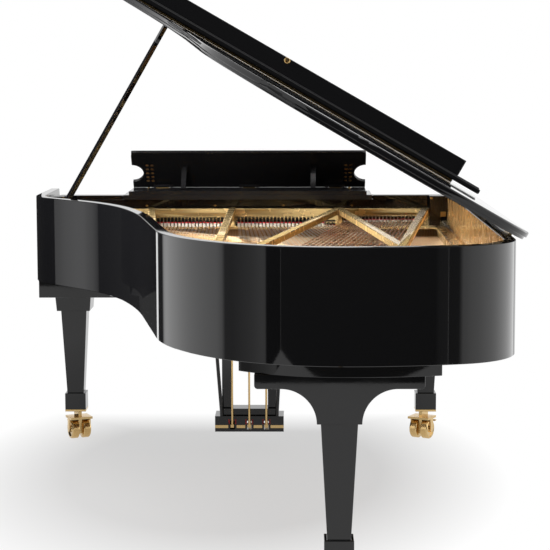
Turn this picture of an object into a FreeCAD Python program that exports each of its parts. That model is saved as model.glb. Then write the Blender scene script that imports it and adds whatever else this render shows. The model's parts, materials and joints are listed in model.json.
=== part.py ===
import FreeCAD, Part
import Sketcher
import math
import os

Vector = FreeCAD.Vector
Rotation = FreeCAD.Rotation
Placement = FreeCAD.Placement

AXIS_X = Vector(1, 0, 0)
AXIS_Y = Vector(0, 1, 0)
AXIS_Z = Vector(0, 0, 1)

doc = FreeCAD.newDocument("grand_piano")
sheet = doc.addObject("Spreadsheet::Sheet", "Sizes")

# Driving sizes in millimetres; depths run from the front of the key slip towards the tail.
SIZES = (
    ("case_length", 2740, "front of the key slip to the tail"),
    ("case_width", 1588, "spine to cheek"),
    ("cheek_length", 680, "straight part of the treble side"),
    ("rim_top", 1010, "floor to the top edge of the rim"),
    ("rim_depth", 318, "height of the rim"),
    ("rim_thickness", 34, "outer rim"),
    ("inner_rim_thickness", 46, "inner rim"),
    ("arm_drop", 170, "how far the arms step down at the front"),
    ("arm_flat", 120, "depth of the low part of the arms"),
    ("keybed_thickness", 75, "keybed"),
    ("keybed_depth", 670, "front to back of the keybed"),
    ("belly_gap", 85, "capo bar to the belly rail"),
    ("belly_thickness", 50, "belly rail"),
    ("brace_width", 62, "beams under the soundboard"),
    ("brace_height", 105, "beams under the soundboard"),
    ("soundboard_drop", 157, "rim top down to the soundboard"),
    ("soundboard_thickness", 9, "soundboard"),
    ("rib_width", 24, "soundboard ribs"),
    ("rib_height", 24, "soundboard ribs"),
    ("string_drop", 115, "rim top down to the tenor strings"),
    ("bass_lift", 16, "bass strings above the tenor strings"),
    ("plate_thickness", 14, "plate web and hitch panel"),
    ("plate_drop", 124, "rim top down to the plate's face"),
    ("plate_clearance", 3, "plate edge to rim"),
    ("flange_width", 42, "foot of the plate along the rim"),
    ("pinblock_thickness", 40, "pinblock"),
    ("pinblock_front", 362, "depth of the pinblock's front"),
    ("pinblock_rear", 575, "depth of the pinblock's rear"),
    ("capo_depth", 585, "depth of the capo bar's front"),
    ("capo_thickness", 30, "capo bar front to back"),
    ("capo_height", 32, "capo bar"),
    ("capo_tenor", 11, "capo bar lower over the plain strings"),
    ("capo_drop", 58, "rim top down to the capo bar's top"),
    ("strut_width", 26, "plate struts"),
    ("strut_height", 22, "plate struts"),
    ("strut_drop", 54, "rim top down to the strut tops"),
    ("scale_margin", 121, "rim's inner face to the outermost strings"),
    ("bass_break", 75, "extra space between bass and tenor"),
    ("treble_break", 36, "extra space at each treble strut"),
    ("unison_pitch", 3, "plain strings of one note"),
    ("wound_pitch", 4.4, "wound strings of one note"),
    ("winding_end", 40, "bare string at each end of a winding"),
    ("top_length", 115, "speaking length of the top note"),
    ("tenor_tail", 443, "lowest plain string's length short of the tail"),
    ("bass_tail", 340, "lowest string's bridge point to the tail"),
    ("tail_length", 70, "string behind the bridge"),
    ("bridge_width", 32, "both bridges"),
    ("pin_radius", 2.6, "tuning pins"),
    ("pin_rise", 46, "tuning pin above the plate"),
    ("pin_row", 30, "spacing of the tuning pin rows"),
    ("pin_depth", 440, "depth of the front row of tuning pins"),
    ("steel_radius", 0.6, "plain strings"),
    ("wound_radius", 2.6, "thickest wound string"),
    ("fit_clearance", 0.3, "running fits and holes"),
    ("overrun", 1, "cutting tools past the faces they cut"),
    ("damper_depth", 735, "depth of the damper line"),
    ("damper_length", 60, "damper heads"),
    ("damper_height", 35, "damper heads with their felts"),
    ("damper_low", 13, "damper heads under the plate struts"),
    ("key_pitch", 23.55, "white key spacing"),
    ("key_gap", 1, "between keys"),
    ("key_front", 35, "depth of the key fronts"),
    ("key_head", 50, "white key head"),
    ("key_length", 445, "whole key stick"),
    ("key_visible", 150, "key in front of the fallboard"),
    ("key_thickness", 30, "key stick and top"),
    ("key_rest", 16, "keybed to the underside of the keys"),
    ("sharp_width", 11, "black key"),
    ("sharp_clearance", 3, "black key behind the white key heads"),
    ("sharp_rise", 12, "black key above the white keys"),
    ("balance_depth", 245, "depth of the balance rail"),
    ("balance_radius", 5, "rounded top of the balance rail"),
    ("hammer_pivot_depth", 535, "depth of the hammer pivots"),
    ("hammer_pivot_rise", 108, "keybed to the hammer pivots"),
    ("hammer_shank", 125, "pivot to strike point"),
    ("hammer_travel", 45, "hammer to string at rest"),
    ("slip_thickness", 22, "key slip"),
    ("slip_height", 43, "key slip"),
    ("cheek_height", 87.5, "cheek blocks"),
    ("cheek_depth", 168, "cheek blocks"),
    ("fall_depth", 205, "depth of the fallboard hinge"),
    ("fall_rise", 98, "keybed to the fallboard hinge"),
    ("fall_length", 188, "fallboard"),
    ("fall_thickness", 20, "fallboard"),
    ("fall_lean", 7, "degrees the open fallboard leans back"),
    ("rail_thickness", 32, "cross rails"),
    ("rail_height", 28, "cross rails"),
    ("tray_rise", 25, "rim top down to the underside of the desk tray"),
    ("tray_margin", 18, "desk tray past each end of the desk"),
    ("tray_front", 345, "depth of the desk tray's front"),
    ("tray_depth", 252, "desk tray"),
    ("tray_base", 18, "lower layer of the desk tray"),
    ("tray_cap", 14, "upper layer of the desk tray"),
    ("tray_step", 20, "step between the layers"),
    ("desk_width", 914, "music desk"),
    ("desk_height", 184, "hinge axis to the top of the music desk"),
    ("desk_skirt", 14, "music desk below its hinge axis"),
    ("desk_thickness", 14, "music desk"),
    ("desk_lean", 40, "degrees the music desk leans back"),
    ("desk_notch", 44, "radius of the round notches in the desk ends"),
    ("desk_strut", 96, "desk struts, pivot to foot"),
    ("lid_thickness", 26, "main lid"),
    ("lid_overhang", 20, "lid past the rim"),
    ("lid_gap", 3, "closed lid above the rim"),
    ("lid_angle", 30, "degrees the lid stands open on the stick"),
    ("lid_joint", 580, "depth of the joint between lid and front flap"),
    ("lid_edge", 5, "rounding of the lid's edges"),
    ("lid_step", 6, "moulded step under the lid's edge"),
    ("lid_step_height", 9, "moulded step under the lid's edge"),
    ("hinge_out", 6, "lid hinge axis outside the spine"),
    ("hinge_down", 6, "lid hinge axis below the rim top"),
    ("hinge_radius", 5, "lid hinge barrels"),
    ("hinge_length", 110, "lid hinges"),
    ("leaf_thickness", 2.5, "hinge leaves"),
    ("flap_front", 110, "depth of the front flap's free edge when closed"),
    ("flap_thickness", 22, "front flap"),
    ("fold_gap", 8, "folded flap above the lid"),
    ("lip_height", 60, "drop lip of the front flap"),
    ("lip_thickness", 22, "drop lip of the front flap"),
    ("lip_inset", 75, "drop lip short of the case sides"),
    ("stick_inset", 76, "rim's inner face to the foot of the lid stick"),
    ("stick_depth", 646, "depth of the foot of the lid stick"),
    ("stick_drop", 25, "rim top down to the stick's pivot"),
    ("stick_width", 26, "lid stick at its foot"),
    ("stick_tip", 18, "lid stick at its top"),
    ("stick_thickness", 16, "lid stick"),
    ("cup_radius", 20, "pad for the stick on the lid"),
    ("cup_thickness", 5, "pad for the stick on the lid"),
    ("leg_inset", 88, "case side to the middle of a front leg"),
    ("leg_depth", 275, "depth of the front legs"),
    ("leg_block", 148, "square block at the top of a front leg"),
    ("leg_block_low", 132, "block's lower edge"),
    ("leg_block_height", 95, "square block at the top of a front leg"),
    ("leg_top", 102, "leg shaft at its top"),
    ("leg_bottom", 66, "leg shaft at its bottom"),
    ("cuff_width", 83, "foot block"),
    ("cuff_height", 66, "foot block"),
    ("foot_height", 118, "floor to the underside of the foot block"),
    ("rear_leg_inset", 489, "spine to the middle of the rear leg"),
    ("rear_leg_tail", 180, "tail to the middle of the rear leg"),
    ("rear_block_width", 553, "curved block over the rear leg"),
    ("rear_block_height", 40, "curved block over the rear leg"),
    ("rear_block_inset", 65, "curved block in from the rim"),
    ("rear_block_length", 260, "curved block front to back"),
    ("shoulder_width", 465, "bracket of the rear leg"),
    ("shoulder_end", 30, "end height of the bracket"),
    ("shoulder_height", 138, "bracket of the rear leg"),
    ("shoulder_ledge", 11, "bracket of the rear leg past its shaft"),
    ("wheel_radius", 39, "caster wheels"),
    ("wheel_width", 32, "caster wheels"),
    ("wheel_trail", 30, "caster axle behind the swivel"),
    ("caster_web", 14, "caster body between the wheels"),
    ("caster_disc", 30, "radius of the caster's top disc"),
    ("caster_disc_height", 8, "caster's top disc"),
    ("hood_thickness", 9, "hood over the caster wheels"),
    ("hood_gap", 3, "hood above the caster wheels"),
    ("arm_thickness", 5, "caster arms outside the wheels"),
    ("arm_width", 24, "caster arms outside the wheels"),
    ("stem_radius", 9, "caster stem"),
    ("stem_length", 42, "caster stem in the leg"),
    ("axle_radius", 6, "caster axle"),
    ("brake_length", 58, "brake lever"),
    ("brake_thickness", 6, "brake lever"),
    ("lyre_depth", 415, "depth of the lyre's middle"),
    ("lyre_spread", 181, "between the lyre posts' middles"),
    ("post_width", 36, "lyre posts"),
    ("post_depth", 46, "lyre posts"),
    ("head_height", 30, "lyre head"),
    ("head_width", 300, "lyre head"),
    ("head_depth", 172, "lyre head"),
    ("pedal_box_width", 271, "pedal box"),
    ("pedal_box_depth", 116, "pedal box"),
    ("pedal_box_height", 62, "pedal box"),
    ("pedal_box_floor", 59, "floor to the pedal box"),
    ("pedal_step", 27, "raised middle of the pedal box"),
    ("pedal_pitch", 67, "between pedals"),
    ("pedal_width", 24, "pedal toe"),
    ("pedal_neck", 13, "pedal lever"),
    ("pedal_thickness", 12, "pedal lever"),
    ("pedal_rise", 26, "pedal box floor to the pedal pivot"),
    ("pedal_toe", 150, "pedal in front of the box"),
    ("pedal_heel", 20, "pedal behind the box"),
    ("pedal_play", 22, "free space above and below a pedal in its slot"),
    ("rod_radius", 4, "pedal rods"),
    ("brace_radius", 7, "lyre braces"),
    ("middle_x", 23.6, "origin to the middle of the case, across"),
    ("middle_y", -10, "origin to the middle of the case, front to back"),
)
for row, (alias, number, meaning) in enumerate(SIZES, start=1):
    sheet.set("A%d" % row, meaning)
    sheet.set("B%d" % row, str(number))
    sheet.setAlias("B%d" % row, alias)
doc.recompute()


class Size:
    """A length that carries its spreadsheet expression and its value."""

    def __init__(self, text, value):
        self.text = text
        self.value = float(value)

    def joined(self, other, sign, value):
        return Size("(%s %s %s)" % (self.text, sign, other.text), value)

    def __add__(self, other):
        other = as_size(other)
        return self.joined(other, "+", self.value + other.value)

    def __sub__(self, other):
        other = as_size(other)
        return self.joined(other, "-", self.value - other.value)

    def __mul__(self, other):
        other = as_size(other)
        return self.joined(other, "*", self.value * other.value)

    def __truediv__(self, other):
        other = as_size(other)
        return self.joined(other, "/", self.value / other.value)

    def __neg__(self):
        return Size("(0 - %s)" % self.text, -self.value)

    def __float__(self):
        return self.value


def as_size(number):
    if isinstance(number, Size):
        return number
    return Size(repr(number), number)


def cell(alias):
    return Size("Sizes." + alias, sheet.get(alias))


C = {alias: cell(alias) for alias, number, meaning in SIZES}
V = {alias: float(C[alias]) for alias in C}
ZERO = as_size(0)

front = -C["case_length"] / 2
half_width = C["case_width"] / 2
rim_bottom = C["rim_top"] - C["rim_depth"]
keybed_bottom = rim_bottom - C["keybed_thickness"]
board_top = C["rim_top"] - C["soundboard_drop"]
board_bottom = board_top - C["soundboard_thickness"]
string_z = C["rim_top"] - C["string_drop"]
bass_z = string_z + C["bass_lift"]
plate_top = C["rim_top"] - C["plate_drop"]
plate_bottom = plate_top - C["plate_thickness"]
inner_half = half_width - C["rim_thickness"]
parts = []
spots = {}


def depth(length):
    return front + length


def bind(item, prop, length):
    item.setExpression(prop, as_size(length).text)


def place(item, x, y, z):
    spots[item.Name] = (x, y, z)
    bind(item, "Placement.Base.x", x)
    bind(item, "Placement.Base.y", y)
    bind(item, "Placement.Base.z", z)


def keep(item, label):
    item.Label = label
    parts.append(item)
    return item


def box(name, length, width, height, x, y, z):
    item = doc.addObject("Part::Box", name)
    bind(item, "Length", length)
    bind(item, "Width", width)
    bind(item, "Height", height)
    place(item, x, y, z)
    return item


def rod(name, radius, height, x, y, z, direction=AXIS_Z):
    item = doc.addObject("Part::Cylinder", name)
    bind(item, "Radius", radius)
    bind(item, "Height", height)
    item.Placement = Placement(Vector(0, 0, 0), Rotation(AXIS_Z, direction))
    place(item, x, y, z)
    return item


def joined(name, items):
    fused = doc.addObject("Part::MultiFuse", name)
    fused.Shapes = items
    return fused


def minus(name, base, tool):
    cut = doc.addObject("Part::Cut", name)
    cut.Base = base
    cut.Tool = tool
    return cut


def group(name, items):
    item = doc.addObject("Part::Compound", name)
    item.Links = items
    return item


def feature(label, shape, placement=None):
    item = doc.addObject("Part::Feature", label)
    item.Shape = shape
    if placement is not None:
        item.Placement = placement
    return keep(item, label)


def polygon_sketch(body, name, role, points, offset=None):
    sketch = body.newObject("Sketcher::SketchObject", name)
    plane = [item for item in body.Origin.OriginFeatures if item.Role == role][0]
    sketch.AttachmentSupport = [(plane, "")]
    sketch.MapMode = "FlatFace"
    if offset is not None:
        bind(sketch, "AttachmentOffset.Base.z", offset)
    corners = [Vector(float(a), float(b), 0) for a, b in points]
    count = len(corners)
    for index in range(count):
        sketch.addGeometry(Part.LineSegment(corners[index], corners[(index + 1) % count]), False)
    for index in range(count):
        sketch.addConstraint(Sketcher.Constraint("Coincident", index, 2, (index + 1) % count, 1))
    for index, (a, b) in enumerate(points):
        pin_coordinate(sketch, index, "DistanceX", a, -2)
        pin_coordinate(sketch, index, "DistanceY", b, -1)
    return sketch


def pin_coordinate(sketch, index, kind, length, axis):
    if float(length) == 0:
        sketch.addConstraint(Sketcher.Constraint("PointOnObject", index, 1, axis))
        return
    number = sketch.addConstraint(Sketcher.Constraint(kind, -1, 1, index, 1, float(length)))
    bind(sketch, "Constraints[%d]" % number, length)


def rectangle(half_x, half_y):
    return [(-half_x, -half_y), (half_x, -half_y), (half_x, half_y), (-half_x, half_y)]


def pad(body, sketch, length, midplane=False, backwards=False):
    item = body.newObject("PartDesign::Pad", sketch.Name + "_pad")
    item.Profile = sketch
    bind(item, "Length", length)
    item.Reversed = backwards
    if midplane:
        item.SideType = "Symmetric"
    return item


def loft(body, first, second):
    item = body.newObject("PartDesign::AdditiveLoft", first.Name + "_loft")
    item.Profile = first
    item.Sections = [second]
    item.Ruled = True
    return item


# Plan of the rim: straight spine, rounded tail, waist, bentside and cheek.
SPINE_END_SHARE = 0.874
TAIL_X_SHARE = -0.204
WAIST_SHARES = ((0.141, 0.7476), (0.191, 0.524))
BENT_SHARES = ((0.382, 0.153), (0.463, 0.0786))
tail_span = C["case_length"] - C["cheek_length"]


def plan(x_share, tail_share):
    return Vector(V["case_width"] * x_share, float(depth(C["cheek_length"] + tail_span * tail_share)), 0)


def left_of(v):
    return Vector(-v.y, v.x, 0)


def unit(v):
    return v * (1 / v.Length)


def curve_piece(start, tangent, end):
    chord = end - start
    side = left_of(tangent).dot(chord)
    along = unit(chord)
    end_tangent = along * (2 * tangent.dot(along)) - tangent
    if abs(side) < chord.Length * 1e-6:
        return (start, tangent, end, tangent, None)
    return (start, tangent, end, end_tangent, chord.dot(chord) / (2 * side))


def two_arcs(start, t0, end, t1):
    v = end - start
    t = t0 + t1
    lead = 2 * (1 - t0.dot(t1))
    reach = (math.sqrt(v.dot(t) ** 2 + lead * v.dot(v)) - v.dot(t)) / lead
    middle = (start + end + (t0 - t1) * reach) * 0.5
    first = curve_piece(start, t0, middle)
    return [first, curve_piece(middle, first[3], end)]


def rim_pieces(lead):
    start = Vector(-float(half_width), float(front) + lead, 0)
    spine_end = plan(-0.5, SPINE_END_SHARE)
    tail = plan(TAIL_X_SHARE, 1)
    waist = [plan(*shares) for shares in WAIST_SHARES]
    bent = [plan(*shares) for shares in BENT_SHARES]
    cheek = plan(0.5, 0)
    finish = Vector(float(half_width), float(front) + lead, 0)
    waist_line = unit(waist[1] - waist[0])
    bent_line = unit(bent[1] - bent[0])
    pieces = [curve_piece(start, AXIS_Y, spine_end)]
    pieces += two_arcs(spine_end, AXIS_Y, tail, AXIS_X)
    pieces += two_arcs(tail, AXIS_X, waist[0], waist_line)
    pieces.append(curve_piece(waist[0], waist_line, waist[1]))
    pieces += two_arcs(waist[1], waist_line, bent[0], bent_line)
    pieces.append(curve_piece(bent[0], bent_line, bent[1]))
    pieces += two_arcs(bent[1], bent_line, cheek, -AXIS_Y)
    pieces.append(curve_piece(cheek, -AXIS_Y, finish))
    return pieces


def rim_wire(inset, lead):
    edges = []
    for start, t0, end, t1, radius in rim_pieces(lead):
        p = start - left_of(t0) * inset
        q = end - left_of(t1) * inset
        if radius is None:
            edges.append(Part.makeLine(p, q))
            continue
        centre = start + left_of(t0) * radius
        middle = centre + unit((p - centre) + (q - centre)) * abs(radius + inset)
        edges.append(Part.Arc(p, middle, q).toShape())
    edges.append(Part.makeLine(edges[-1].lastVertex(True).Point, edges[0].firstVertex(True).Point))
    return Part.Wire(edges)


def rim_slab(inset, lead, bottom, top):
    face = Part.Face(rim_wire(float(inset), float(lead)))
    face.translate(Vector(0, 0, float(bottom)))
    return face.extrude(Vector(0, 0, float(top) - float(bottom)))


def span(x0, x1, y0, y1, z0, z1):
    low = Vector(float(x0), float(y0), float(z0))
    high = Vector(float(x1), float(y1), float(z1))
    size = high - low
    return Part.makeBox(size.x, size.y, size.z, low)


def behind(shape, start):
    keep_in = span(-V["case_width"], V["case_width"], depth(start), V["case_length"], 0, 2 * V["rim_top"])
    return shape.common(keep_in)


def bar(start, end, width, bottom, height):
    along = unit(end - start)
    side = left_of(along) * (float(width) / 2)
    corners = [start - side, end - side, end + side, start + side]
    wire = Part.makePolygon(corners + corners[:1])
    face = Part.Face(wire)
    face.translate(Vector(0, 0, float(bottom)))
    return face.extrude(Vector(0, 0, float(height)))


def at(x, length):
    return Vector(float(x), float(depth(length)), 0)


# Outer rim, with arms that scoop down in front of the lid.
def arm_scoop():
    y0 = float(front) - V["arm_flat"]
    y1 = float(depth(C["arm_flat"]))
    low = V["rim_top"] - V["arm_drop"]
    top = 2 * V["rim_top"]
    bend = V["arm_drop"] * math.sqrt(0.5)
    a = Vector(0, y0, low)
    b = Vector(0, y1, low)
    m = Vector(0, y1 + bend, V["rim_top"] - bend)
    c = Vector(0, y1 + V["arm_drop"], V["rim_top"])
    d = Vector(0, y1 + V["arm_drop"], top)
    e = Vector(0, y0, top)
    edges = [Part.makeLine(a, b), Part.Arc(b, m, c).toShape(), Part.makeLine(c, d)]
    edges += [Part.makeLine(d, e), Part.makeLine(e, a)]
    face = Part.Face(Part.Wire(edges))
    face.translate(Vector(-V["case_width"], 0, 0))
    return face.extrude(Vector(2 * V["case_width"], 0, 0))


rim = rim_slab(0, 0, rim_bottom, C["rim_top"])
rim = rim.cut(rim_slab(
    C["rim_thickness"], -C["rim_thickness"], rim_bottom - C["overrun"], C["rim_top"] + C["overrun"]))
rim = rim.cut(arm_scoop())
pivot_reach = C["rim_thickness"] / 2
pivot_half = inner_half + pivot_reach
bore_half = float(pivot_half + C["fit_clearance"])
bore_radius = float(C["fall_thickness"] / 4 + C["fit_clearance"])
bore_start = Vector(-bore_half, float(depth(C["fall_depth"])), float(rim_bottom + C["fall_rise"]))
fall_bore = Part.makeCylinder(bore_radius, 2 * bore_half, bore_start, AXIS_X)
feature("outer_rim", rim.cut(fall_bore))

liner = C["rim_thickness"] + C["inner_rim_thickness"]
inner = rim_slab(C["rim_thickness"], 0, rim_bottom, board_bottom)
inner = inner.cut(rim_slab(liner, -C["rim_thickness"], rim_bottom - C["overrun"], board_bottom + C["overrun"]))
belly_depth = C["capo_depth"] + C["capo_thickness"] + C["belly_gap"]
feature("inner_rim", behind(inner, belly_depth))

# Belly rail and beams inside the inner rim.
BEAM_SHARES = ((-0.36, -0.33), (-0.14, -0.2), (0.08, -0.07), (0.27, 0.06))
belly_end = belly_depth + C["belly_thickness"]
well = rim_slab(liner, 0, rim_bottom, board_bottom)
belly = well.common(
    span(-half_width, half_width, depth(belly_depth), depth(belly_end), rim_bottom, board_bottom)
)
beams = [belly]
for near_share, far_share in BEAM_SHARES:
    near = at(C["case_width"] * near_share, belly_end)
    far = at(C["case_width"] * far_share, C["case_length"])
    beams.append(well.common(bar(near, far, C["brace_width"], rim_bottom, C["brace_height"])))
beams[1:] = [behind(beam, belly_end) for beam in beams[1:]]
feature("braces", Part.makeCompound([beam.Solids[0] for beam in beams]))

keybed = box("keybed", C["case_width"], C["keybed_depth"], C["keybed_thickness"], -half_width, front, keybed_bottom)
keep(keybed, "keybed")

feature("soundboard", behind(rim_slab(C["rim_thickness"], 0, board_bottom, board_top), belly_depth))

RIB_DEPTH_SHARES = (0.34, 0.42, 0.5, 0.58, 0.66, 0.74, 0.82, 0.9)
RIB_SLANT_SHARE = 0.1
rib_room = behind(rim_slab(liner, 0, board_bottom - C["rib_height"], board_bottom), belly_end)
ribs = []
for share in RIB_DEPTH_SHARES:
    slant = C["case_length"] * RIB_SLANT_SHARE
    near = at(-half_width, C["case_length"] * share - slant)
    far = at(half_width, C["case_length"] * share + slant)
    rib = rib_room.common(bar(near, far, C["rib_width"], board_bottom - C["rib_height"], C["rib_height"]))
    ribs.append(max(rib.Solids, key=lambda solid: solid.Volume))
feature("soundboard_ribs", Part.makeCompound(ribs))

# Scale design: where every note's strings start, which way they run and how long they are.
NOTES = 88
BASS_NOTES = 20
SINGLE_NOTES = 8
TREBLE_BREAKS = (47, 68)
DAMPED_NOTES = 69
BASS_ANGLES = (6.5, 10)
TENOR_ANGLE = -10
BASS_SHORTENING_SHARE = 0.0035
string_start = C["capo_depth"] + C["capo_thickness"] / 2
breaks_width = C["bass_break"] + C["treble_break"] * len(TREBLE_BREAKS)
scale_width = (inner_half - C["scale_margin"]) * 2
note_pitch = float(scale_width - breaks_width) / (NOTES - 1)
bass_length = float(C["case_length"] - C["bass_tail"] - string_start)
tenor_length = float(C["case_length"] - C["tenor_tail"] - string_start)
octave_ratio = (tenor_length / V["top_length"]) ** (12 / (NOTES - 1 - BASS_NOTES))


def note_x(note):
    x = -float(scale_width) / 2 + note_pitch * note
    if note >= BASS_NOTES:
        x += V["bass_break"]
    return x + V["treble_break"] * sum(note >= first for first in TREBLE_BREAKS)


def note_way(note):
    if note < BASS_NOTES:
        low, high = BASS_ANGLES
        angle = low + (high - low) * note / (BASS_NOTES - 1)
    else:
        angle = TENOR_ANGLE * (1 - (note - BASS_NOTES) / (NOTES - BASS_NOTES)) ** 3
    return Vector(math.sin(math.radians(angle)), math.cos(math.radians(angle)), 0)


def note_length(note):
    if note < BASS_NOTES:
        return bass_length * (1 - BASS_SHORTENING_SHARE * note)
    return V["top_length"] * octave_ratio ** ((NOTES - 1 - note) / 12)


def note_at(note, along):
    return at(note_x(note), string_start) + note_way(note) * along


def note_at_depth(note, length):
    along = (float(length) - float(string_start)) / note_way(note).y
    return note_at(note, along)


def hitch_along(note):
    return note_length(note) + V["tail_length"]


def strings_of(note):
    if note < SINGLE_NOTES:
        return [0]
    if note < BASS_NOTES:
        return [-0.5, 0.5]
    return [-1, 0, 1]


def wound_radius(note):
    return V["wound_radius"] * (1 - 0.5 * note / (BASS_NOTES - 1))


def string_gauge(note):
    return wound_radius(note) if note < BASS_NOTES else V["steel_radius"]


def string_pitch(note):
    return V["unison_pitch"] if note >= BASS_NOTES else V["wound_pitch"]


def tuning_points():
    points = []
    side = V["pin_radius"] + V["steel_radius"] + V["fit_clearance"]
    for note in range(NOTES):
        for rank, share in enumerate(strings_of(note)):
            shift = share * string_pitch(note)
            row = len(strings_of(note)) - 1 - rank
            pin = note_at_depth(note, C["pin_depth"] + C["pin_row"] * row)
            points.append((note, shift, pin + Vector(shift, 0, 0), Vector(-side, 0, 0)))
    return points


tuning = tuning_points()
pin_height = float(plate_top) + V["pin_rise"]
pin_foot = float(plate_bottom) - V["pinblock_thickness"] / 2
pins = []
for note, shift, point, aside in tuning:
    foot = point + aside + Vector(0, 0, pin_foot)
    pins.append(Part.makeCylinder(V["pin_radius"], pin_height - pin_foot, foot))
feature("tuning_pins", Part.makeCompound(pins))


def winding(note, shift, height):
    lift = Vector(shift, 0, height)
    start = note_at(note, V["winding_end"]) + lift
    along = note_at(note, note_length(note) - V["winding_end"]) + lift - start
    return Part.makeCylinder(string_gauge(note), along.Length, start, along)


def string_set(notes, height):
    wires = []
    for note, shift, point, aside in tuning:
        if note in notes:
            start = point + Vector(0, 0, height)
            end = note_at(note, hitch_along(note)) + Vector(shift, 0, height)
            along = end - start
            wire = Part.makeCylinder(V["steel_radius"], along.Length, start, along)
            if note < BASS_NOTES:
                wire = wire.fuse(winding(note, shift, height))
            wires.append(wire)
    return Part.makeCompound(wires)


bass_notes = range(BASS_NOTES)
treble_notes = range(BASS_NOTES, NOTES)
feature("bass_strings", string_set(bass_notes, float(bass_z)))
feature("treble_strings", string_set(treble_notes, float(string_z)))


def ribbon(points, half, bottom, top):
    curve = Part.BSplineCurve()
    curve.interpolate(points)
    first, last = curve.FirstParameter, curve.LastParameter
    sides = []
    steps = 4 * len(points)
    for sign in (-1, 1):
        edge = []
        for step in range(steps + 1):
            u = first + (last - first) * step / steps
            edge.append(curve.value(u) + left_of(unit(curve.tangent(u)[0])) * (sign * half))
        side = Part.BSplineCurve()
        side.interpolate(edge)
        sides.append((side.toShape(), edge))
    lower, upper = sides
    ends = [Part.makeLine(lower[1][-1], upper[1][-1]), Part.makeLine(upper[1][0], lower[1][0])]
    face = Part.Face(Part.Wire([lower[0], ends[0], upper[0].reversed(), ends[1]]))
    face.translate(Vector(0, 0, float(bottom)))
    return face.extrude(Vector(0, 0, float(top) - float(bottom)))


BRIDGE_NOTES = (20, 24, 30, 37, 45, 54, 64, 75, 87)
half_bridge = V["bridge_width"] / 2
long_curve = [note_at(note, note_length(note)) for note in BRIDGE_NOTES]
long_top = float(string_z) - V["steel_radius"]
feature("long_bridge", ribbon(long_curve, half_bridge, board_top, long_top))
BASS_CURVE_NOTES = (0, 10, 19)
bass_curve = [note_at(note, note_length(note)) for note in BASS_CURVE_NOTES]
feature("bass_bridge", ribbon(bass_curve, half_bridge, board_top, float(bass_z) - V["steel_radius"]))


# Pinblock and cast plate share the tuning pin holes.
def pin_holes(bottom):
    radius = V["pin_radius"] + V["fit_clearance"]
    return [
        Part.Wire(Part.makeCircle(radius, point + aside + Vector(0, 0, float(bottom))))
        for note, shift, point, aside in tuning
    ]


def drilled(outer, holes, bottom, top):
    outer.translate(Vector(0, 0, float(bottom)))
    face = Part.makeFace([outer] + holes, "Part::FaceMakerBullseye")
    return face.extrude(Vector(0, 0, float(top) - float(bottom)))


def rectangle_wire(x0, x1, y0, y1):
    corners = [(x0, y0), (x1, y0), (x1, y1), (x0, y1), (x0, y0)]
    return Part.makePolygon([Vector(float(x), float(y), 0) for x, y in corners])


block_half = inner_half - C["plate_clearance"]
block_wire = rectangle_wire(-block_half, block_half, depth(C["pinblock_front"]), depth(C["pinblock_rear"]))
block_bottom = plate_bottom - C["pinblock_thickness"]
feature("pinblock", drilled(block_wire, pin_holes(block_bottom), block_bottom, plate_bottom))


def hitch_opening():
    gap = V["bridge_width"] * 0.9
    curve_notes = BRIDGE_NOTES
    curve = [note_at(note, hitch_along(note) - gap) for note in curve_notes]
    edge_x = float(inner_half) - V["plate_clearance"] - V["flange_width"]
    line_y = float(depth(C["capo_depth"] + C["capo_thickness"]))
    line_y += V["plate_clearance"]
    near_left = Vector(-edge_x, line_y, 0)
    near_right = Vector(edge_x, line_y, 0)
    far_right = Vector(edge_x, curve[-1].y, 0)
    far_left = Vector(-edge_x, curve[0].y, 0)
    spline = Part.BSplineCurve()
    spline.interpolate(curve)
    edges = [Part.makeLine(near_left, near_right), Part.makeLine(near_right, far_right)]
    edges += [Part.makeLine(far_right, curve[-1]), spline.toShape()]
    edges += [Part.makeLine(curve[0], far_left), Part.makeLine(far_left, near_left)]
    return Part.Wire(Part.__sortEdges__(edges))


def window_wire():
    along = unit(bass_curve[-1] - bass_curve[0])
    reach = along * (V["bridge_width"] * 2)
    side = left_of(along) * (V["bridge_width"] * 2)
    near, far = bass_curve[0] - reach, bass_curve[-1] + reach
    corners = [near - side, far - side, far + side, near + side]
    return Part.makePolygon(corners + corners[:1])


def bridge_room():
    room = V["plate_clearance"]
    lead = unit(long_curve[0] - long_curve[1]) * room
    trail = unit(long_curve[-1] - long_curve[-2]) * room
    path = [long_curve[0] + lead] + long_curve[1:-1] + [long_curve[-1] + trail]
    return ribbon(path, half_bridge + room, board_top - C["overrun"], plate_top + C["overrun"])


plate_inset = C["rim_thickness"] + C["plate_clearance"]
openings = [hitch_opening(), window_wire()]
for opening in openings:
    opening.translate(Vector(0, 0, float(plate_bottom)))
plate_wire = rim_wire(float(plate_inset), V["pinblock_front"])
panel = drilled(plate_wire, openings + pin_holes(plate_bottom), plate_bottom, plate_top)
foot = rim_slab(plate_inset, 0, board_top, plate_bottom)
foot = foot.cut(rim_slab(
    plate_inset + C["flange_width"], -C["rim_thickness"], board_top - C["overrun"], plate_bottom + C["overrun"]))
foot = behind(foot, belly_end)
capo_top = C["rim_top"] - C["capo_drop"]
capo_y = depth(C["capo_depth"])
capo_end = capo_y + C["capo_thickness"]
capo = span(-block_half, block_half, capo_y, capo_end, capo_top - C["capo_height"], capo_top)
bass_gap = (note_x(BASS_NOTES - 1) + note_x(BASS_NOTES)) / 2
capo_low = capo_top - C["capo_height"]
tenor_capo = span(bass_gap, block_half, capo_y, capo_end, capo_low - C["capo_tenor"], capo_low)
low_side = note_x(0) - V["bass_break"] / 2
treble_gaps = [(note_x(first - 1) + note_x(first)) / 2 for first in TREBLE_BREAKS]
strut_top = C["rim_top"] - C["strut_drop"]
strut_z = strut_top - C["strut_height"]
STRUT_END_SHARES = ((-0.279, 0.941), (0.0, 0.883), (0.03, 0.864), (0.185, 0.384))
MEETING_SHARE = 0.741
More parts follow.
